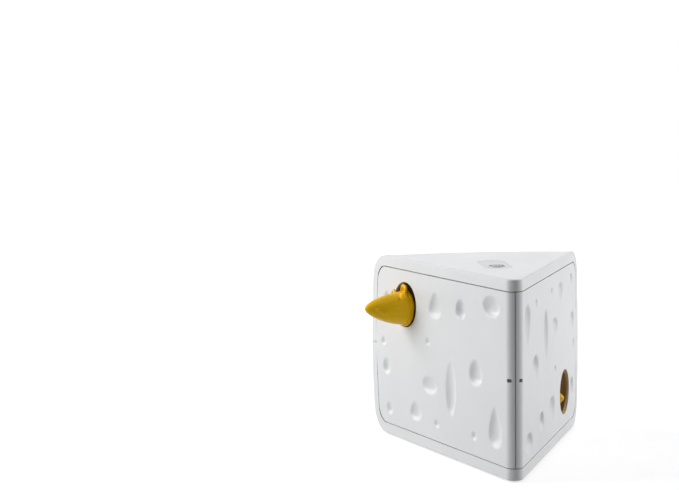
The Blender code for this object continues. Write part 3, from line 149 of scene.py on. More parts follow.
world = bpy.data.worlds.new("studio")
scene.world = world
world.use_nodes = True
background = world.node_tree.nodes["Background"].inputs
background["Color"].default_value = (1, 1, 1, 1)
strength = spread(world.node_tree, seen_directly(world.node_tree), WORLD_FILL, 1, (0, 1))
link(world.node_tree, strength, background["Strength"])
print("world light on the toy:", WORLD_FILL)

# %% [markdown]
# ## The floor
# The floor is a large flat sheet of pale paper. In a studio, lamps of its own make the paper
# white. Here it glows a little for the camera only, and more with distance, so that it fades into
# the white background while the shadow under the toy stays.

# %% The paper floor
FLOOR_REACH = 3.0
PAPER_SHADE = (0.50, 0.54)
PAPER_ROUGHNESS = 0.9
FIBRE_SCALE = 900
GLOW_NEAR = 0.66
GLOW_SPAN = (0.25, 1.6)


def blank_material(name):
    """A new material, its node tree and its shader."""
    material = bpy.data.materials.new(name)
    material.use_nodes = True
    return material, material.node_tree, material.node_tree.nodes["Principled BSDF"]


def noise(tree, vector, scale, detail=2):
    node = tree.nodes.new("ShaderNodeTexNoise")
    node.inputs["Detail"].default_value = detail
    link(tree, vector, node.inputs["Vector"])
    if isinstance(scale, (int, float)):
        node.inputs["Scale"].default_value = scale
    else:
        link(tree, scale, node.inputs["Scale"])
    return node.outputs["Fac"]


def pale_paper():
    material, tree, shader = blank_material("pale_paper")
    where = tree.nodes.new("ShaderNodeTexCoord").outputs["Object"]
    fibre = spread(tree, noise(tree, where, FIBRE_SCALE), *PAPER_SHADE, (0, 1))
    away = tree.nodes.new("ShaderNodeVectorMath")
    away.operation = "LENGTH"
    link(tree, where, away.inputs[0])
    glow = spread(tree, away.outputs["Value"], GLOW_NEAR, 1, GLOW_SPAN, "SMOOTHSTEP")
    seen_glow = combine(tree, "MULTIPLY", glow, seen_directly(tree))
    link(tree, fibre, shader.inputs["Base Color"])
    link(tree, seen_glow, shader.inputs["Emission Strength"])
    shader.inputs["Roughness"].default_value = PAPER_ROUGHNESS
    shader.inputs["Emission Color"].default_value = (1, 1, 1, 1)
    return material


floor_shape = bmesh.new()
bmesh.ops.create_circle(floor_shape, cap_ends=True, segments=96, radius=FLOOR_REACH)
floor_mesh = bpy.data.meshes.new("floor")
floor_shape.to_mesh(floor_mesh)
floor_shape.free()
floor_mesh.materials.append(pale_paper())
floor = bpy.data.objects.new("floor", floor_mesh)
scene.collection.objects.link(floor)
print("floor radius:", FLOOR_REACH, "m")

# %% [markdown]
# ## Moulded plastic
# Injection moulded plastic is never one flat colour. It has a fine spark texture that dulls its
# gloss, slow changes of shade where the wall is thicker, and patches that are duller than others.
# These could be painted on, but noise has no seams and needs no unwrapping. One node group makes
# them as colour, roughness and height, and each material places it with its own values. Faces
# marked by an attribute get painted shade: their colour is darkened almost to black, standing in
# for the shadow on the ledge behind each side panel.

# %% A node group for moulded plastic
SHADE_SCALE = 14
PATCH_SCALE = 90
GRAIN_SCALE = 2600


def group_socket(group, name, kind, way="INPUT", value=None):
    socket = group.interface.new_socket(name=name, in_out=way, socket_type=kind)
    if value is not None:
        socket.default_value = value


def mix(tree, share, first, second):
    """Blends two colours. They are inputs 6 and 7 of a mix node, and output 2 is the result."""
    node = tree.nodes.new("ShaderNodeMix")
    node.data_type = "RGBA"
    link(tree, share, node.inputs["Factor"])
    for spot, colour in ((6, first), (7, second)):
        if isinstance(colour, tuple):
            node.inputs[spot].default_value = (*colour, 1)
        else:
            link(tree, colour, node.inputs[spot])
    return node.outputs[2]


def moulded_group():
    group = bpy.data.node_groups.new("moulded plastic", "ShaderNodeTree")
    group_socket(group, "Colour", "NodeSocketColor", value=(0.8, 0.8, 0.8, 1))
    group_socket(group, "Shade", "NodeSocketColor", value=(0.7, 0.7, 0.7, 1))
    group_socket(group, "Roughness Low", "NodeSocketFloat", value=0.35)
    group_socket(group, "Roughness High", "NodeSocketFloat", value=0.45)
    group_socket(group, "Grain Scale", "NodeSocketFloat", value=GRAIN_SCALE)
    group_socket(group, "Colour", "NodeSocketColor", "OUTPUT")
    group_socket(group, "Roughness", "NodeSocketFloat", "OUTPUT")
    group_socket(group, "Height", "NodeSocketFloat", "OUTPUT")
    entry = group.nodes.new("NodeGroupInput")
    leave = group.nodes.new("NodeGroupOutput")
    where = group.nodes.new("ShaderNodeTexCoord").outputs["Object"]
    slow = spread(group, noise(group, where, SHADE_SCALE, detail=3), 0, 1)
    patch = spread(group, noise(group, where, PATCH_SCALE, detail=4), 0, 1)
    grain = noise(group, where, entry.outputs["Grain Scale"])
    colour = mix(group, slow, entry.outputs["Colour"], entry.outputs["Shade"])
    ends = entry.outputs["Roughness Low"], entry.outputs["Roughness High"]
    rough = spread(group, patch, *ends, (0, 1))
    for result, socket in zip((colour, rough, grain), leave.inputs):
        link(group, result, socket)
    return group


MOULDED = moulded_group()
print("node group:", MOULDED.name)

# %% [markdown]
# Each plastic has a main colour, a second shade close to it and a range of roughness. The mouse
# heads mirror less of the room than the housing does, so that their yellow stays deep. The gears
# are natural or black acetal, and the cells, the board and the feet have a coarser grain.

# %% The plastics
# Painted shade: the share of its colour that a face on the ledge behind a side panel keeps.
PAINTED_SHADE_SHARE = 0.08
GRAIN_STRENGTH = 0.6
GRAIN_HEIGHT = 0.00002


def add_relief(tree, shader, height, strength, distance):
    """Small bumps from a height that changes over the surface."""
    relief = tree.nodes.new("ShaderNodeBump")
    relief.inputs["Strength"].default_value = strength
    relief.inputs["Distance"].default_value = distance
    link(tree, height, relief.inputs["Height"])
    link(tree, relief.outputs["Normal"], shader.inputs["Normal"])


def plastic(
    name, colour, shade, rough, grain_scale=GRAIN_SCALE, grain_height=GRAIN_HEIGHT, specular=0.5
):
    """A moulded plastic from its main colour, its other shade and its range of roughness."""
    material, tree, shader = blank_material(name)
    shader.inputs["Specular IOR Level"].default_value = specular
    skin = tree.nodes.new("ShaderNodeGroup")
    skin.node_tree = MOULDED
    skin.inputs["Colour"].default_value = (*colour, 1)
    skin.inputs["Shade"].default_value = (*shade, 1)
    skin.inputs["Roughness Low"].default_value = rough[0]
    skin.inputs["Roughness High"].default_value = rough[1]
    skin.inputs["Grain Scale"].default_value = grain_scale
    # Painted shade: faces marked by this attribute are darkened almost to black.
    painted_shade = tree.nodes.new("ShaderNodeAttribute")
    painted_shade.attribute_name = "painted_shade"
    painted_shade_colour = tuple(PAINTED_SHADE_SHARE * share for share in colour)
    colour_with_painted_shade = mix(tree, painted_shade.outputs["Fac"], skin.outputs["Colour"], painted_shade_colour)
    link(tree, colour_with_painted_shade, shader.inputs["Base Color"])
    link(tree, skin.outputs["Roughness"], shader.inputs["Roughness"])
    add_relief(tree, shader, skin.outputs["Height"], GRAIN_STRENGTH, grain_height)
    return material


white = plastic("white_housing", (0.79, 0.80, 0.81), (0.76, 0.77, 0.78), (0.36, 0.46))
brown = plastic("brown_inner", (0.44, 0.29, 0.15), (0.39, 0.25, 0.125), (0.40, 0.52))
# A darker copy of the brown plastic is painted shade: it makes the corner post, seen through the
# latch windows and the near seam, as dark as a shaded recess.
shaded_brown = plastic("shaded_brown", (0.070, 0.048, 0.036), (0.055, 0.038, 0.028), (0.50, 0.62))
yellow = plastic(
    "yellow_mouse", (0.99, 0.60, 0.002), (0.97, 0.57, 0.001), (0.24, 0.34), specular=0.16
)
pale = plastic("pale_grey", (0.70, 0.71, 0.72), (0.67, 0.68, 0.69), (0.40, 0.50))
natural = plastic("natural_acetal", (0.78, 0.77, 0.72), (0.74, 0.73, 0.67), (0.36, 0.46))
black = plastic("black_acetal", (0.055, 0.055, 0.060), (0.045, 0.045, 0.050), (0.36, 0.50))
jacket = plastic("cell_jacket", (0.10, 0.16, 0.34), (0.09, 0.14, 0.31), (0.28, 0.38), 900)
mask = plastic("circuit_green", (0.030, 0.20, 0.090), (0.024, 0.17, 0.075), (0.36, 0.48), 1400)
rubber = plastic(
    "foot_rubber", (0.085, 0.085, 0.090), (0.070, 0.070, 0.075), (0.70, 0.85), 1700, 0.00005
)
print("plastics:", white.name, brown.name, shaded_brown.name, yellow.name, pale.name)
print("and:", natural.name, black.name, jacket.name, mask.name, rubber.name)

# %% [markdown]
# ## Metal
# The shafts, screws and contacts are plated steel and the two bushes are turned brass. Turning
# and drawing leave fine lines round or along a bar, which show as streaks in its roughness. A
# noise squeezed in one direction gives such streaks.

# %% Metals
STREAK = (1, 1, 12)
STREAK_SCALE = 420
TARNISH_SCALE = 160
TARNISH_SHADE = 0.82
STREAK_STRENGTH = 0.3
STREAK_HEIGHT = 0.00001


def metal(name, colour, rough):
    material, tree, shader = blank_material(name)
    shader.inputs["Metallic"].default_value = 1.0
    where = tree.nodes.new("ShaderNodeTexCoord").outputs["Object"]
    squeeze = tree.nodes.new("ShaderNodeMapping")
    squeeze.inputs["Scale"].default_value = STREAK
    link(tree, where, squeeze.inputs["Vector"])
    lines = noise(tree, squeeze.outputs["Vector"], STREAK_SCALE, detail=3)
    tarnish = spread(tree, noise(tree, where, TARNISH_SCALE, detail=4), 0, 1)
    darker = tuple(TARNISH_SHADE * share for share in colour)
    link(tree, mix(tree, tarnish, colour, darker), shader.inputs["Base Color"])
    link(tree, spread(tree, lines, *rough), shader.inputs["Roughness"])
    add_relief(tree, shader, lines, STREAK_STRENGTH, STREAK_HEIGHT)
    return material


steel = metal("steel", (0.62, 0.62, 0.63), (0.22, 0.38))
brass = metal("brass", (0.72, 0.53, 0.22), (0.24, 0.40))
print("metals:", steel.name, brass.name)

# %% [markdown]
# ## The inner pieces keep their shape
# The gears, shafts, racks, screws, cells and board are right as the mechanical model has them, so
# they stay and each gets its material. A list of name beginnings says which is which, and the
# first that fits counts. What the list leaves out is steel.

# %% Materials for the mechanical pieces
LOOKS = (
    (("battery_door_screw",), steel),
    (("top_shell", "bottom_shell", "left_panel", "right_panel"), white),
    (("battery_tray", "battery_door"), white),
    (("upper_sleeve", "lower_sleeve"), brown),
    # The corner post takes the darker copy of the brown, which is painted shade.
    (("corner_post",), shaded_brown),
    (("upper_mouse_head", "lower_mouse_head"), yellow),
    (("mechanism_deck", "gear_cover", "power_button", "button_pad"), pale),
    (("upper_rack", "lower_rack", "drive_gear", "upper_pinion", "lower_pinion"), natural),
    (("reduction_gear_1", "reduction_gear_2", "motor_pinion", "button_switch"), black),
    (("battery_cell_",), jacket),
    (("circuit_board",), mask),
    (("foot_",), rubber),
    (("shaft_bush_",), brass),
)


def look_of(name):
    for beginnings, material in LOOKS:
        if name.startswith(beginnings):
            return material
    return steel


for name, node in nodes.items():
    node.data.materials.clear()
    node.data.materials.append(look_of(name))
print("steel pieces:", [name for name in sorted(nodes) if look_of(name) is steel])

# %% [markdown]
# ## Helpers for new pieces
# A new piece starts as a bmesh, which is Blender's editable mesh in memory. When its shape is
# done, its faces are turned outwards and it becomes an object. Then it gets its material, rides
# on a body of the mechanical model and stands for the plain solid that it improves on.

# %% Turn a bmesh into a finished piece
WELD = 0.000002
SMOOTH_BELOW = math.radians(35)
ROUND_ABOVE = math.radians(40)
FLAT_FACE_WEIGHT = 80
LOOSE_BELOW = math.radians(0.1)


def as_object(shape, name):
    """An object from a bmesh, shaded smooth."""
    mesh = bpy.data.meshes.new(name)
    shape.to_mesh(mesh)
    shape.free()
    mesh.shade_smooth()
    obj = bpy.data.objects.new(name, mesh)
    scene.collection.objects.link(obj)
    return obj


def piece(shape, name, smooth=SMOOTH_BELOW):
    """An object with its points merged, its faces outwards and its edges sharp above an angle."""
    bmesh.ops.remove_doubles(shape, verts=shape.verts, dist=WELD)
    bmesh.ops.recalc_face_normals(shape, faces=shape.faces)
    obj = as_object(shape, name)
    obj.data.set_sharp_from_angle(angle=smooth)
    return obj


def dress(obj, material, body, slot, *stands_for):
    """Gives a piece its material, its body and the solids that it stands for, which are hidden.
    The slot is not used.
    """
    obj.data.materials.clear()
    obj.data.materials.append(material)
    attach(obj, body)
    if stands_for:
        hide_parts(*stands_for)
    return obj


def round_edges(obj, width, segments=2, angle=ROUND_ABOVE):
    bevel = obj.modifiers.new("round edges", "BEVEL")
    bevel.width = width
    bevel.segments = segments
    bevel.limit_method = "ANGLE"
    bevel.angle_limit = angle
    bevel.harden_normals = True
    return obj


def even_shading(obj):
    """Lets large faces set the shading, so that a flat face stays flat up to its rounded edge."""
    even = obj.modifiers.new("even shading", "WEIGHTED_NORMAL")
    even.keep_sharp = True
    even.weight = FLAT_FACE_WEIGHT
    return obj


def merged_copy(name):
    """A copy of a mechanical piece's mesh with its loose triangles joined into flat faces."""
    shape = bmesh.new()
    shape.from_mesh(nodes[name].data)
    bmesh.ops.remove_doubles(shape, verts=shape.verts, dist=WELD)
    bmesh.ops.dissolve_limit(
        shape, angle_limit=LOOSE_BELOW, verts=shape.verts, edges=shape.edges
    )
    return shape


print("weld distance:", WELD * 1000, "mm")

# %% [markdown]
# ## The housing's two halves
# The housing is moulded in two halves that meet half way up. Its mould has small rounds on every
# edge, which catch the light as thin lines. The mechanical model's halves are copied, their loose
# triangles are joined, and a bevel rounds their sharp edges. The ledge behind each side panel gets
# painted shade: its faces are found by measuring how deep they lie under the side, and are marked
# to be darkened.

# %% Top and bottom halves
HEIGHT = 0.1915
UNDERSIDE = 0.0015
MIDDLE = UNDERSIDE + HEIGHT / 2
APEX_Y = -0.038
HALF_ANGLE = math.radians(22.5)
FACE_LENGTH = 0.2947
NEAR_RADIUS = 0.009
BAND = 0.0118
SHELL_EDGE = 0.0004
SHELL_SMOOTH_BELOW = math.radians(36)
SHADED_LEDGE_DEPTHS = (0.0005, 0.0032)
SHADED_LEDGE_MARGIN = 0.001


def under_side(spot):
    """How deep a point lies under the nearer side, and how far along that side it is."""
    out = Vector((math.cos(HALF_ANGLE), -math.sin(HALF_ANGLE)))
    flat = Vector((abs(spot.x), spot.y - APEX_Y))
    along = flat.x * math.sin(HALF_ANGLE) + flat.y * math.cos(HALF_ANGLE)
    if along > NEAR_RADIUS / math.tan(HALF_ANGLE):
        return -flat.dot(out), along
    centre = Vector((0, NEAR_RADIUS / math.sin(HALF_ANGLE)))
    return NEAR_RADIUS - (flat - centre).length, along


def on_shaded_ledge(spot):
    """Whether a point lies on the ledge behind a side panel, which gets painted shade."""
    depth, along = under_side(spot)
    tall = HEIGHT / 2 - BAND + SHADED_LEDGE_MARGIN
    inside = abs(spot.z - MIDDLE) < tall and along < FACE_LENGTH - BAND + SHADED_LEDGE_MARGIN
    return inside and SHADED_LEDGE_DEPTHS[0] < depth < SHADED_LEDGE_DEPTHS[1]


for node, name in (("top_shell", "top_half"), ("bottom_shell", "bottom_half")):
    half = piece(merged_copy(node), name, SHELL_SMOOTH_BELOW)
    # Faces on the ledge are marked, so that their colour is darkened as painted shade.
    marks = [float(on_shaded_ledge(face.center)) for face in half.data.polygons]
    half.data.attributes.new("painted_shade", "FLOAT", "FACE").data.foreach_set("value", marks)
    round_edges(half, SHELL_EDGE)
    even_shading(half)
    dress(half, white, "housing", "white_housing", node)
    print(name, "faces:", len(half.data.polygons), "in the seam:", round(sum(marks)))

# %% [markdown]
# ## The dimpled side panels
# Each side has one moulded panel that wraps round half of the near corner. It is flat, with
# shallow scoops like the holes in cheese, a round hole for the mouse and a small window for its
# latch. A fine grid is laid out flat, cut to its outline, pressed into dimples and then bent, in
# the way that a sheet would be. Bending last keeps every row of the grid level and even.

# %% The panel's outline, laid flat
RIM_BULGE = 0.650
RIM_CORNER = 0.028
PANEL_INSET = BAND + 0.0005
HALF_SEAM = 0.0004
GRID_STEP = 0.0013
tangent = NEAR_RADIUS / math.tan(HALF_ANGLE)
half_tall = HEIGHT / 2 - PANEL_INSET
corner_radius = RIM_CORNER - PANEL_INSET


def rim_draw(rise):
    """How far the bulged far edge is drawn in at a height above the middle."""
    bulge = RIM_BULGE - PANEL_INSET
    return PANEL_INSET + bulge - math.sqrt(bulge**2 - rise**2)


def stations(marks, step):
    """Even positions that include every mark."""
    places = [marks[0]]
    for start, end in zip(marks, marks[1:]):
        count = max(1, round((end - start) / step))
        places += [start + (end - start) * (number + 1) / count for number in range(count)]
    return places


def flat_grid(columns, rows):
    """A grid with the given column and row positions."""
    shape = bmesh.new()
    across, along = len(columns) - 1, len(rows) - 1
    bmesh.ops.create_grid(shape, x_segments=across, y_segments=along, size=0.5)
    for vert in shape.verts:
        column = round((vert.co.x + 0.5) * across)
        row = round((vert.co.y + 0.5) * along)
        vert.co = (columns[column], rows[row], 0)
    return shape


LATCH_FROM_MIDDLE = math.radians(40) * NEAR_RADIUS
LATCH_HALF_WIDE = 0.0025
LATCH_HALF_TALL = 0.00165
arc = (math.pi / 2 - HALF_ANGLE) * NEAR_RADIUS
latch = LATCH_FROM_MIDDLE - arc
far_corner = FACE_LENGTH - tangent - rim_draw(0)
columns = stations(
    (HALF_SEAM - arc, latch - LATCH_HALF_WIDE, latch + LATCH_HALF_WIDE, 0, far_corner), GRID_STEP
)
rows = stations((-half_tall, -LATCH_HALF_TALL, LATCH_HALF_TALL, half_tall), GRID_STEP)
print("grid:", len(columns), "by", len(rows), "points")
print("corner radius:", round(corner_radius * 1000, 1), "mm")

# %% [markdown]
# Round outlines are cut from the grid without a Boolean. Faces outside the outline are deleted,
# and the points left along the cut are moved onto it. This keeps four-sided faces everywhere,
# which take a wall thickness and a rounded edge cleanly.

# %% Cut round outlines from the grid
HOLE_FROM_APEX = 0.2195
HOLE_RISE = 0.25091 * HEIGHT
HOLE_HALF_WIDE = 0.0244
HOLE_HALF_TALL = 0.0237


def cut_outline(shape, outside, onto):
    """Deletes the faces whose middles are outside, then moves the cut's points onto a line."""
    before = {vert for vert in shape.verts if vert.is_boundary}
    gone = [face for face in shape.faces if outside(face.calc_center_median())]
    bmesh.ops.delete(shape, geom=gone, context="FACES")
    for vert in shape.verts:
        if vert.is_boundary and vert not in before:
            vert.co = onto(vert.co)
    return len(gone)


def hole_radius(spot):
    """How far a point lies from the hole's centre, where 1 is on the hole's edge."""
    across = (spot.x + tangent - HOLE_FROM_APEX) / HOLE_HALF_WIDE
    return math.hypot(across, (spot.y - HOLE_RISE) / HOLE_HALF_TALL)


def onto_hole(spot):
    centre = Vector((HOLE_FROM_APEX - tangent, HOLE_RISE, 0))
    return centre + (spot - centre) / hole_radius(spot)


def corner_offset(spot):
    """From the centre of the far corner's round to a point, or None nearer the middle."""
    centre = Vector((far_corner - corner_radius, half_tall - corner_radius))
    offset = Vector((spot.x, abs(spot.y))) - centre
    return (centre, offset) if offset.x > 0 and offset.y > 0 else (centre, None)


def outside_corner(spot):
    offset = corner_offset(spot)[1]
    return offset is not None and offset.length > corner_radius


def onto_corner(spot):
    centre, offset = corner_offset(spot)
    if offset is None:
        return spot
    moved = centre + offset.normalized() * corner_radius
    return Vector((moved.x, math.copysign(moved.y, spot.y), 0))


def latch_window(spot):
    return abs(spot.x - latch) < LATCH_HALF_WIDE and abs(spot.y) < LATCH_HALF_TALL


# %% [markdown]
# A dimple is a scoop. It starts gently at its top, gets deepest below its middle and ends in a
# short steep wall, which is why its lower edge shines and its body looks dark. Each one is an
# ellipse that narrows to its top, and its depth falls from the deepest point to the rim along
# every line between them.

# %% Press the dimples
DEEPEST = -0.52
DIMPLE_CURVE = 1.08
TINY = 1e-9
# Each dimple: distance from the apex, height above the middle, width, height, taper to its top
# and depth.
DIMPLES = (
    (0.2600, 0.0490, 0.0140, 0.0200, 0.2, 0.0036),
    (0.1560, 0.0545, 0.0230, 0.0270, 0.5, 0.0038),
    (0.1050, 0.0570, 0.0190, 0.0200, 0.1, 0.0048),
    (0.0475, 0.0665, 0.0310, 0.0210, 0.0, 0.0048),
    (0.2670, 0.0040, 0.0090, 0.0100, 0.3, 0.0018),
    (0.1710, 0.0160, 0.0090, 0.0080, 0.0, 0.0018),
    (0.2610, -0.0225, 0.0160, 0.0180, 0.1, 0.0030),
    (0.1680, -0.0285, 0.0310, 0.0180, 0.0, 0.0032),
    (0.1250, -0.0255, 0.0200, 0.0540, 0.0, 0.0029),
    (0.0770, -0.0015, 0.0240, 0.0260, 0.2, 0.0045),
    (0.2570, -0.0670, 0.0140, 0.0130, 0.0, 0.0022),
    (0.1980, -0.0605, 0.0230, 0.0200, 0.3, 0.0029),
    (0.1540, -0.0655, 0.0100, 0.0085, 0.2, 0.0017),
    (0.0800, -0.0640, 0.0100, 0.0085, 0.2, 0.0018),
    (0.0410, -0.0485, 0.0220, 0.0410, 0.5, 0.0036),
)


def rim_share(across, along):
    """0 at the deepest point and 1 on the unit circle, measured along the line between them."""
    line = Vector((across, along - DEEPEST))
    if line.length < TINY:
        return 0
    way = line.normalized()
    start = Vector((0, DEEPEST))
    reach = -start.dot(way) + math.sqrt(start.dot(way) ** 2 + 1 - start.length_squared)
    return line.length / reach


def dimple_depth(spot):
    depth = 0
    for from_apex, rise, wide, tall, taper, deepest in DIMPLES:
        along = 2 * (spot.y - rise) / tall
        if abs(along) >= 1:
            continue
        across = 2 * (spot.x + tangent - from_apex) / (wide * (1 - taper * along))
        if math.hypot(across, along) >= 1:
            continue
        share = rim_share(across, along)
        depth += deepest * (1 - share * share) ** DIMPLE_CURVE
    return depth


print("dimples on each side:", len(DIMPLES))

# %% [markdown]
# The flat sheet is then bent round the near corner. Left of the bend line the sheet's distance
# becomes an angle round the corner, and right of it the sheet runs straight along the side.

# %% Bend the sheet and give it its wall
PANEL_THICK = 0.0024
PANEL_EDGE = 0.0003
PANEL_ROUND_ABOVE = math.radians(50)
RIM_BLEND = 4


def bend(spot, depth):
    """A point of the flat sheet, sunk by a depth, on the toy's right side."""
    centre = Vector((0, APEX_Y + NEAR_RADIUS / math.sin(HALF_ANGLE), MIDDLE))
    angle = -HALF_ANGLE + min(spot.x, 0) / NEAR_RADIUS
    outward = Vector((math.cos(angle), math.sin(angle), 0))
    along = Vector((math.sin(HALF_ANGLE), math.cos(HALF_ANGLE), 0))
    level = Vector((0, 0, spot.y))
    return centre + (NEAR_RADIUS - depth) * outward + max(spot.x, 0) * along + level


def onto_side(shape, left):
    """Mirrors a shape made on the right side to the left, or turns it over on the right."""
    if left:
        bmesh.ops.scale(shape, vec=(-1, 1, 1), verts=shape.verts)
    else:
        turned_over = Matrix.Translation((0, 0, 2 * MIDDLE)) @ Matrix.Diagonal((1, 1, -1, 1))
        bmesh.ops.transform(shape, matrix=turned_over, verts=shape.verts)


def panel_shape():
    """The bent sheet with its dimples, without a thickness."""
    shape = flat_grid(columns, rows)
    cut_outline(shape, outside_corner, onto_corner)
    cut_outline(shape, lambda spot: hole_radius(spot) < 1, onto_hole)
    cut_outline(shape, latch_window, lambda spot: spot)
    for vert in shape.verts:
        spot = vert.co.copy()
        depth = dimple_depth(spot)
        far = max(0, spot.x / far_corner)
        spot.x -= far**RIM_BLEND * (rim_draw(spot.y) - rim_draw(0))
        vert.co = bend(spot, depth)
    return shape


def build_panel(name, left, node):
    shape = panel_shape()
    onto_side(shape, left)
    bmesh.ops.recalc_face_normals(shape, faces=shape.faces)
    if sum(face.normal.y for face in shape.faces) > 0:
        bmesh.ops.reverse_faces(shape, faces=shape.faces)
    panel = as_object(shape, name)
    wall = panel.modifiers.new("wall", "SOLIDIFY")
    wall.thickness = PANEL_THICK
    wall.offset = -1
    wall.use_even_offset = True
    round_edges(panel, PANEL_EDGE, angle=PANEL_ROUND_ABOVE)
    dress(panel, white, "housing", "white_housing", node)
    print(name, "faces:", len(panel.data.polygons))


build_panel("left_dimpled_panel", True, "left_panel")
build_panel("right_dimpled_panel", False, "right_panel")

# %% [markdown]
# ## The mouse heads
# A head is a smooth pointed shell of revolution with two dished ears near its base. On the real
# toy it is one moulding, so each ear flows into the head through a thick root. Subdivision
# modelling could join them, but it needs a careful net of faces. Here the head's profile is spun,
# the ears and their roots are set into it as reshaped balls, and a remesh joins them all into one
# skin, which is then smoothed. Eyes and mouth are pressed into that skin.
#
# First comes the path of a head. It leads straight out of its hole and a little upwards.

# %% The path that a head slides along
SLOPE = math.radians(7)
AXIS_DROP = 0.0006
STROKE = 0.047124


def path_matrix(side, slide):
    """From a path's own axes to the toy. In them X is across the hole, Y inwards and Z up."""
    rise = -side * HOLE_RISE - AXIS_DROP
    hole = Vector((side * math.sin(HALF_ANGLE), math.cos(HALF_ANGLE), 0)) * HOLE_FROM_APEX
    inward = Vector((-side * math.cos(HALF_ANGLE), math.sin(HALF_ANGLE), -math.tan(SLOPE)))
    place = Matrix.Translation(hole + Vector((0, APEX_Y, MIDDLE + rise)) + slide * inward)
    turn = Matrix.Rotation(side * (math.pi / 2 - HALF_ANGLE), 4, "Z")
    return place @ turn @ Matrix.Diagonal((-1 if side > 0 else 1, 1, 1, 1))


print("stroke:", STROKE * 1000, "mm")

# %% [markdown]
# The head's outline is a curve that starts steep at the tip and runs level at the base, where a
# narrow groove and a flange follow. Its points stand closer together at the tip, which is rounder.

# %% The head's outline, and a helper that turns outlines
HEAD_LENGTH = 0.0467
HEAD_BASE_R = 0.0173
HEAD_BASE_OUT = 0.0031
HEAD_POWER = 0.60
HEAD_CURVE = 1.5
FLANGE_R = 0.0190
FLANGE_OUT = 0.0021
FLANGE_BACK = 0.0011
GROOVE_R = 0.0166
GROOVE_WIDE = 0.0008
HEAD_RINGS = 28
TIP_CROWDING = 1.7
SPIN_STEPS = 96


def head_radius(out):
    along = (HEAD_LENGTH - out) / (HEAD_LENGTH - HEAD_BASE_OUT)
    return HEAD_BASE_R * (1 - max(1 - along, 0) ** HEAD_CURVE) ** HEAD_POWER


def turned(outline, closed=False, steps=SPIN_STEPS, start=0.0, sweep=2 * math.pi):
    """A bmesh turned round Z, all round or as an arc, from (radius, height) points."""
    shape = bmesh.new()
    turn = Matrix.Rotation(start, 3, "Z")
    verts = [shape.verts.new(turn @ Vector((radius, 0, height))) for radius, height in outline]
    pairs = zip(verts, verts[1:] + verts[:1] if closed else verts[1:])
    edges = [shape.edges.new(pair) for pair in pairs]
    bmesh.ops.spin(
        shape, geom=verts + edges, cent=(0, 0, 0), axis=(0, 0, 1), angle=sweep, steps=steps,
        use_merge=sweep >= 2 * math.pi,
    )
    bmesh.ops.remove_doubles(shape, verts=shape.verts, dist=WELD)
    bmesh.ops.recalc_face_normals(shape, faces=shape.faces)
    return shape


def head_outline():
    long = HEAD_LENGTH - HEAD_BASE_OUT
    points = [(0, HEAD_LENGTH)]
    for step in range(1, HEAD_RINGS + 1):
        out = HEAD_LENGTH - long * (step / HEAD_RINGS) ** TIP_CROWDING
        points.append((head_radius(out), out))
    points += [(GROOVE_R, HEAD_BASE_OUT), (GROOVE_R, HEAD_BASE_OUT - GROOVE_WIDE)]
    points += [(FLANGE_R, FLANGE_OUT), (FLANGE_R, -FLANGE_BACK)]
    return points + [(0, -FLANGE_BACK)]


print("head radius half way:", round(head_radius(HEAD_LENGTH / 2) * 1000, 2), "mm")

# %% [markdown]
# An ear starts as a ball. It is flattened, squared to a tab, and pressed in on its outer face to
# make the dish. Its root is a second ball, sunk into the head beside it.

# %% Ears and their roots
HEAD_ROLL = math.radians(20)
EAR_SPREAD = math.radians(34)
EAR_CENTRE_R = 0.0188
EAR_RADII = Vector((0.0057, 0.0070, 0.0026))
EAR_OUT = 0.0046
EAR_SQUARENESS = 3.4
DISH_DEPTH = 1.5
DISH_R = 0.72
ROOT_SPREAD = math.radians(60)
ROOT_CENTRE_R = 0.0150
ROOT_RADII = Vector((0.0064, 0.0046, 0.0058))
ROOT_OUT = 0.0064


def squared(across, along):
    """Turns a circle's point into one on a rounded square."""
    reach = math.hypot(across, along)
    if reach < TINY:
        return across, along
    turn = math.atan2(along, across)
    total = abs(math.cos(turn)) ** EAR_SQUARENESS + abs(math.sin(turn)) ** EAR_SQUARENESS
    grow = total ** (-1 / EAR_SQUARENESS)
    return across * grow, along * grow


def set_on_head(shape, verts, angle, radius, out):
    """Moves new points to the head's side, turned with it."""
    centre = Vector((radius * math.sin(angle), radius * math.cos(angle), out))
    place = Matrix.Translation(centre) @ Matrix.Rotation(-angle, 4, "Z")
    bmesh.ops.transform(shape, matrix=place, verts=verts)


def add_ear(shape, way):
    """A flattened ball, squared to a tab and dished on its outer face."""
    verts = bmesh.ops.create_uvsphere(shape, u_segments=40, v_segments=24, radius=1)["verts"]
    for vert in verts:
        reach = math.hypot(vert.co.x, vert.co.y)
        vert.co.x, vert.co.y = squared(vert.co.x, vert.co.y)
        if vert.co.z > 0:
            vert.co.z -= DISH_DEPTH * max(0, 1 - (reach / DISH_R) ** 2)
    bmesh.ops.scale(shape, vec=EAR_RADII, verts=verts)
    set_on_head(shape, verts, way * EAR_SPREAD - HEAD_ROLL, EAR_CENTRE_R, EAR_OUT)


def add_root(shape, way):
    """The ear's thick root, a flattened ball sunk into the head further down its side."""
    verts = bmesh.ops.create_uvsphere(shape, u_segments=32, v_segments=20, radius=1)["verts"]
    bmesh.ops.scale(shape, vec=ROOT_RADII, verts=verts)
    set_on_head(shape, verts, way * ROOT_SPREAD - HEAD_ROLL, ROOT_CENTRE_R, ROOT_OUT)


print("ear:", round(2000 * EAR_RADII.x, 1), "by", round(2000 * EAR_RADII.y, 1), "mm")

# %% [markdown]
# An eye is a small round hollow on each side. The mouth is a short groove on each side, with a
# raised lip under it that catches the light from above.

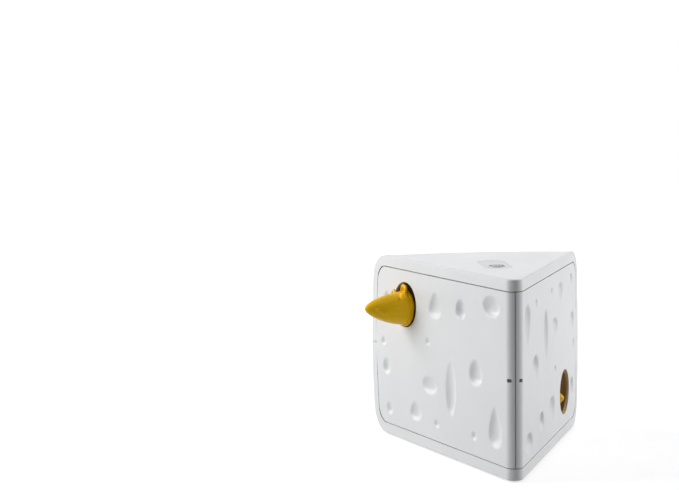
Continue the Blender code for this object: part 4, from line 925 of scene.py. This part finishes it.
# %% Eyes and mouth
EYE_ANGLE = math.radians(69)
EYE_OUT = 0.0130
EYE_R = 0.0014
EYE_DEPTH = 0.0013
MOUTH_ENDS = ((math.radians(98), 0.0368), (math.radians(121), 0.0298))
MOUTH_DEPTH = 0.0006
MOUTH_WIDE = 0.0009
MOUTH_LIP = 0.0014
MOUTH_LIP_BELOW = 0.0013


def on_head(way, from_crown, out):
    """A point on the head's skin, at an angle from its crown to one side."""
    angle = way * from_crown - HEAD_ROLL
    radius = head_radius(out)
    return Vector((radius * math.sin(angle), radius * math.cos(angle), out))


def to_line(spot, start, end):
    """The way from the nearest point of a short straight line to a point."""
    line = end - start
    share = min(1, max(0, (spot - start).dot(line) / line.length_squared))
    return spot - start - share * line


def mouth_depth(spot, way):
    """How deep the mouth is at a point. On its lip this is below zero."""
    ends = [on_head(way, *end) for end in MOUTH_ENDS]
    down = Vector((way * spot.y, -way * spot.x, 0)).normalized()
    groove = to_line(spot, *ends).length / MOUTH_WIDE
    lip = to_line(spot - MOUTH_LIP_BELOW * down, *ends).length / MOUTH_WIDE
    return MOUTH_DEPTH * math.exp(-groove * groove) - MOUTH_LIP * math.exp(-lip * lip)


def press_face(mesh):
    """Sinks the eyes and both sides of the mouth into the skin."""
    eyes = [on_head(way, EYE_ANGLE, EYE_OUT) for way in (1, -1)]
    normals = [vert.normal.copy() for vert in mesh.vertices]
    for vert, normal in zip(mesh.vertices, normals):
        near = min((vert.co - eye).length for eye in eyes)
        sink = EYE_DEPTH * max(0, 1 - (near / EYE_R) ** 2)
        sink += mouth_depth(vert.co, 1) + mouth_depth(vert.co, -1)
        vert.co -= normal * sink


print("mouth from", [end[1] * 1000 for end in MOUTH_ENDS], "mm out")

# %% [markdown]
# The remesh lays a new skin over the shape on a grid of small cubes, so a cube is about half as
# wide as the finest form, the groove. Three rounds of smoothing take out the grid's steps. The
# upper mouse is out at rest, and the lower one is drawn in by the full stroke.

# %% Build both heads
VOXEL = 0.00045
SMOOTH_ROUNDS = 3
HEAD_DROP = 0.0031
HEAD_LIFT = math.radians(3.3)


def build_head(name, side, slide, body, node):
    shape = turned(head_outline())
    for way in (1, -1):
        add_ear(shape, way)
        add_root(shape, way)
    obj = piece(shape, name)
    skin = obj.modifiers.new("one skin", "REMESH")
    skin.mode = "VOXEL"
    skin.voxel_size = VOXEL
    bpy.context.view_layer.update()
    graph = bpy.context.evaluated_depsgraph_get()
    mesh = bpy.data.meshes.new_from_object(obj.evaluated_get(graph))
    obj.modifiers.clear()
    obj.data = mesh
    shape = bmesh.new()
    shape.from_mesh(mesh)
    for _ in range(SMOOTH_ROUNDS):
        bmesh.ops.smooth_vert(
            shape, verts=shape.verts, factor=0.5, use_axis_x=True, use_axis_y=True, use_axis_z=True
        )
    shape.to_mesh(mesh)
    shape.free()
    press_face(mesh)
    tip_forward = Matrix.Rotation(math.pi / 2 - HEAD_LIFT, 4, "X")
    mesh.transform(path_matrix(side, slide) @ Matrix.Translation((0, 0, -HEAD_DROP)) @ tip_forward)
    if side > 0:
        mesh.flip_normals()
    mesh.shade_smooth()
    dress(obj, yellow, body, "yellow_mouse", node)
    print(name, "faces:", len(mesh.polygons))


build_head("upper_mouse", -1, 0, "upper_mouse", "upper_mouse_head")
build_head("lower_mouse", 1, STROKE, "lower_mouse", "lower_mouse_head")

# %% [markdown]
# ## The brown sleeves
# Behind each hole stands a brown tube that the mouse slides in. Its own shape comes from the
# mechanical model, with its edges rounded. A brown lip lines the edge of the hole, so that no
# white shows there, and slopes inwards like a funnel, so that a returning head finds its way. A
# small triangle is turned into a ring, and the ring is then stretched to the hole's ellipse and
# laid on the bent side, with the same bend as the panel. The mechanical model's tube has flat
# sides, which would show inside, so a second ring gives it a round inner skin.

# %% Sleeves with a lip
LIP_OUT = 0.0003
LIP_IN = 0.0030
LIP_GAP = 0.00008
LIP_WALL = 0.0018
SLEEVE_R = 0.0252
SLEEVE_START = 0.0028
SLEEVE_LONG = 0.0484
LINER_PROUD = 0.0001
LINER_SUNK = 0.0010
TUBE_EDGE = 0.0002


def join_shapes(shape, other):
    """Adds one bmesh to another, which takes a mesh in between."""
    mesh = bpy.data.meshes.new("part of a piece")
    other.to_mesh(mesh)
    other.free()
    shape.from_mesh(mesh)
    bpy.data.meshes.remove(mesh)


def add_lip(shape, left):
    """A triangle turned into a ring, stretched to the hole's ellipse and set in the hole."""
    outer, inner = 1 - LIP_GAP / HOLE_HALF_WIDE, 1 - (LIP_GAP + LIP_WALL) / HOLE_HALF_WIDE
    lip = turned(((outer, LIP_OUT), (outer, LIP_IN), (inner, LIP_IN)), closed=True)
    for vert in lip.verts:
        across = HOLE_FROM_APEX - tangent + vert.co.x * HOLE_HALF_WIDE
        vert.co = bend(Vector((across, HOLE_RISE + vert.co.y * HOLE_HALF_TALL, 0)), vert.co.z)
    onto_side(lip, left)
    join_shapes(shape, lip)


def add_liner(shape, side):
    """A round skin on the inside of the tube, which slopes down with the mouse's path."""
    near, far = SLEEVE_R - LINER_PROUD, SLEEVE_R + LINER_SUNK
    start, end = SLEEVE_START, SLEEVE_START + SLEEVE_LONG
    liner = turned(((far, start), (far, end), (near, end), (near, start)), closed=True)
    slope = Matrix.Identity(4)
    slope[2][1] = -math.tan(SLOPE)
    place = path_matrix(side, 0) @ slope @ Matrix.Rotation(-math.pi / 2, 4, "X")
    bmesh.ops.transform(liner, matrix=place, verts=liner.verts)
    join_shapes(shape, liner)


for node, left in (("upper_sleeve", True), ("lower_sleeve", False)):
    shape = merged_copy(node)
    add_lip(shape, left)
    add_liner(shape, -1 if left else 1)
    tube = piece(shape, "lined_" + node)
    round_edges(tube, TUBE_EDGE, 1)
    dress(tube, brown, "housing", "brown_inner", node)
    print(tube.name, "faces:", len(tube.data.polygons))

# %% [markdown]
# ## The power button
# The button is a low round cap that stands a little out of a sunk grey pad. Its outline is turned
# round, with a rounded edge, the flange that keeps it in and the stem that presses the switch.

# %% The button's cap
BUTTON_Y = 0.085
BUTTON_TOP = 0.1936
BUTTON_R = 0.0089
BUTTON_ROUND = 0.0011
CAP_FLANGE_R = 0.0108
CAP_FLANGE_HIGH = 0.1897
CAP_FLANGE_LOW = 0.1882
STEM_R = 0.0028
STEM_LOW = 0.1842
CAP_EDGE_STEPS = 6
CAP_STEPS = 72
PRINT = 0.00006


def cap_outline():
    """From the middle of the cap down its side, round its flange and down its stem."""
    crown, flat = BUTTON_TOP - PRINT, BUTTON_R - BUTTON_ROUND
    points = [(0, crown)]
    for step in range(CAP_EDGE_STEPS + 1):
        turn = math.pi / 2 * step / CAP_EDGE_STEPS
        drop = BUTTON_ROUND * (1 - math.cos(turn))
        points.append((flat + BUTTON_ROUND * math.sin(turn), crown - drop))
    points += [(BUTTON_R, CAP_FLANGE_HIGH), (CAP_FLANGE_R, CAP_FLANGE_HIGH)]
    points += [(CAP_FLANGE_R, CAP_FLANGE_LOW), (STEM_R, CAP_FLANGE_LOW)]
    return points + [(STEM_R, STEM_LOW), (0, STEM_LOW)]


def on_button(shape, name, material, slot, *stands_for):
    bmesh.ops.translate(shape, vec=(0, BUTTON_Y, 0), verts=shape.verts)
    return dress(piece(shape, name), material, "button", slot, *stands_for)


cap = on_button(
    turned(cap_outline(), steps=CAP_STEPS), "button_cap", pale, "pale_grey", "power_button"
)
print("cap faces:", len(cap.data.polygons))

# %% [markdown]
# The cap's mark is the usual power sign, a broken ring with a bar, printed in dark grey. A dark
# ring round it, in the same dark grey, is painted shade for the gap between the cap and its pad.
# Print has a little thickness, so each mark is a thin band that stands just out of the cap, turned
# from a small rectangle. An image could show the same, but a band stays sharp at any distance.

# %% The printed marks and a painted ring of shade
# The first ring is painted shade for the gap round the cap, drawn in the print's dark grey.
GAP_SHADE_RING = (0.0052, 0.0076)
SIGN_RING = (0.0022, 0.0034)
SIGN_GAP = math.radians(38)
BAND_STEPS = 64
BAND_TALL = 3 * PRINT
BAR_HALF = (0.0006, 0.0018)
BAR_AWAY = 0.0028
# This dark grey serves the printed sign and also the painted shade of the outer ring.
ink_and_painted_shade = plastic("print_and_painted_shade", (0.12, 0.125, 0.13), (0.10, 0.105, 0.11), (0.45, 0.55), 3200)


def printed_band(inner, outer, start=0.0, sweep=2 * math.pi):
    """A thin flat band turned round the button's axis, either whole or as an arc."""
    low, high = BUTTON_TOP - BAND_TALL, BUTTON_TOP
    corners = ((inner, low), (outer, low), (outer, high), (inner, high))
    shape = turned(corners, True, BAND_STEPS, start, sweep)
    ends = [edge for edge in shape.edges if edge.is_boundary]
    if ends:
        bmesh.ops.holes_fill(shape, edges=ends, sides=4)
    return shape


def printed_bar():
    shape = bmesh.new()
    bmesh.ops.create_cube(shape, size=2)
    half = Vector((*BAR_HALF, BAND_TALL / 2))
    bmesh.ops.scale(shape, vec=half, verts=shape.verts)
    bmesh.ops.translate(shape, vec=(0, BAR_AWAY, BUTTON_TOP - half.z), verts=shape.verts)
    heights = ((edge, abs(edge.verts[0].co.z - edge.verts[1].co.z)) for edge in shape.edges)
    upright = [edge for edge, height in heights if height > half.z]
    bmesh.ops.bevel(
        shape, geom=upright, offset=BAR_HALF[0] / 2, segments=3, affect="EDGES", profile=0.5,
        material=-1, clamp_overlap=True,
    )
    return shape


# This ring is painted shade: a dark band standing for the shaded gap round the cap.
on_button(printed_band(*GAP_SHADE_RING), "painted_gap_shade_ring", ink_and_painted_shade, "black_acetal")
open_ring = printed_band(*SIGN_RING, math.pi / 2 + SIGN_GAP, 2 * math.pi - 2 * SIGN_GAP)
on_button(open_ring, "power_sign_ring", ink_and_painted_shade, "black_acetal")
on_button(printed_bar(), "power_sign_bar", ink_and_painted_shade, "black_acetal")
# Of these three marks, the outer ring is painted shade rather than print.
print("printed marks: 3, each", round(PRINT * 1000, 2), "mm out of the cap")

# %% [markdown]
# ## Small outer pieces
# The pad, the battery door, the feet and the near corner's post have the right shape already, but
# their edges are sharp. Each is copied and gets small rounds, as a mould would give it.

# %% Rounded copies
SMALL_PIECES = (
    ("button_pad", "sunk_pad", pale, "pale_grey", "housing", 0.00025),
    ("battery_door", "ribbed_door", white, "white_housing", "battery_cover", 0.0003),
    # The post keeps the darker brown, painted shade for the latch windows and the near seam.
    ("corner_post", "near_corner_post", shaded_brown, "brown_inner", "housing", 0.0003),
    ("foot_near", "near_rubber_foot", rubber, "foot_rubber", "housing", 0.0003),
    ("foot_far_left", "left_rubber_foot", rubber, "foot_rubber", "housing", 0.0003),
    ("foot_far_right", "right_rubber_foot", rubber, "foot_rubber", "housing", 0.0003),
)
for node, name, material, slot, body, width in SMALL_PIECES:
    small = round_edges(piece(merged_copy(node), name), width)
    dress(small, material, body, slot, node)
    print(name, "faces:", len(small.data.polygons))
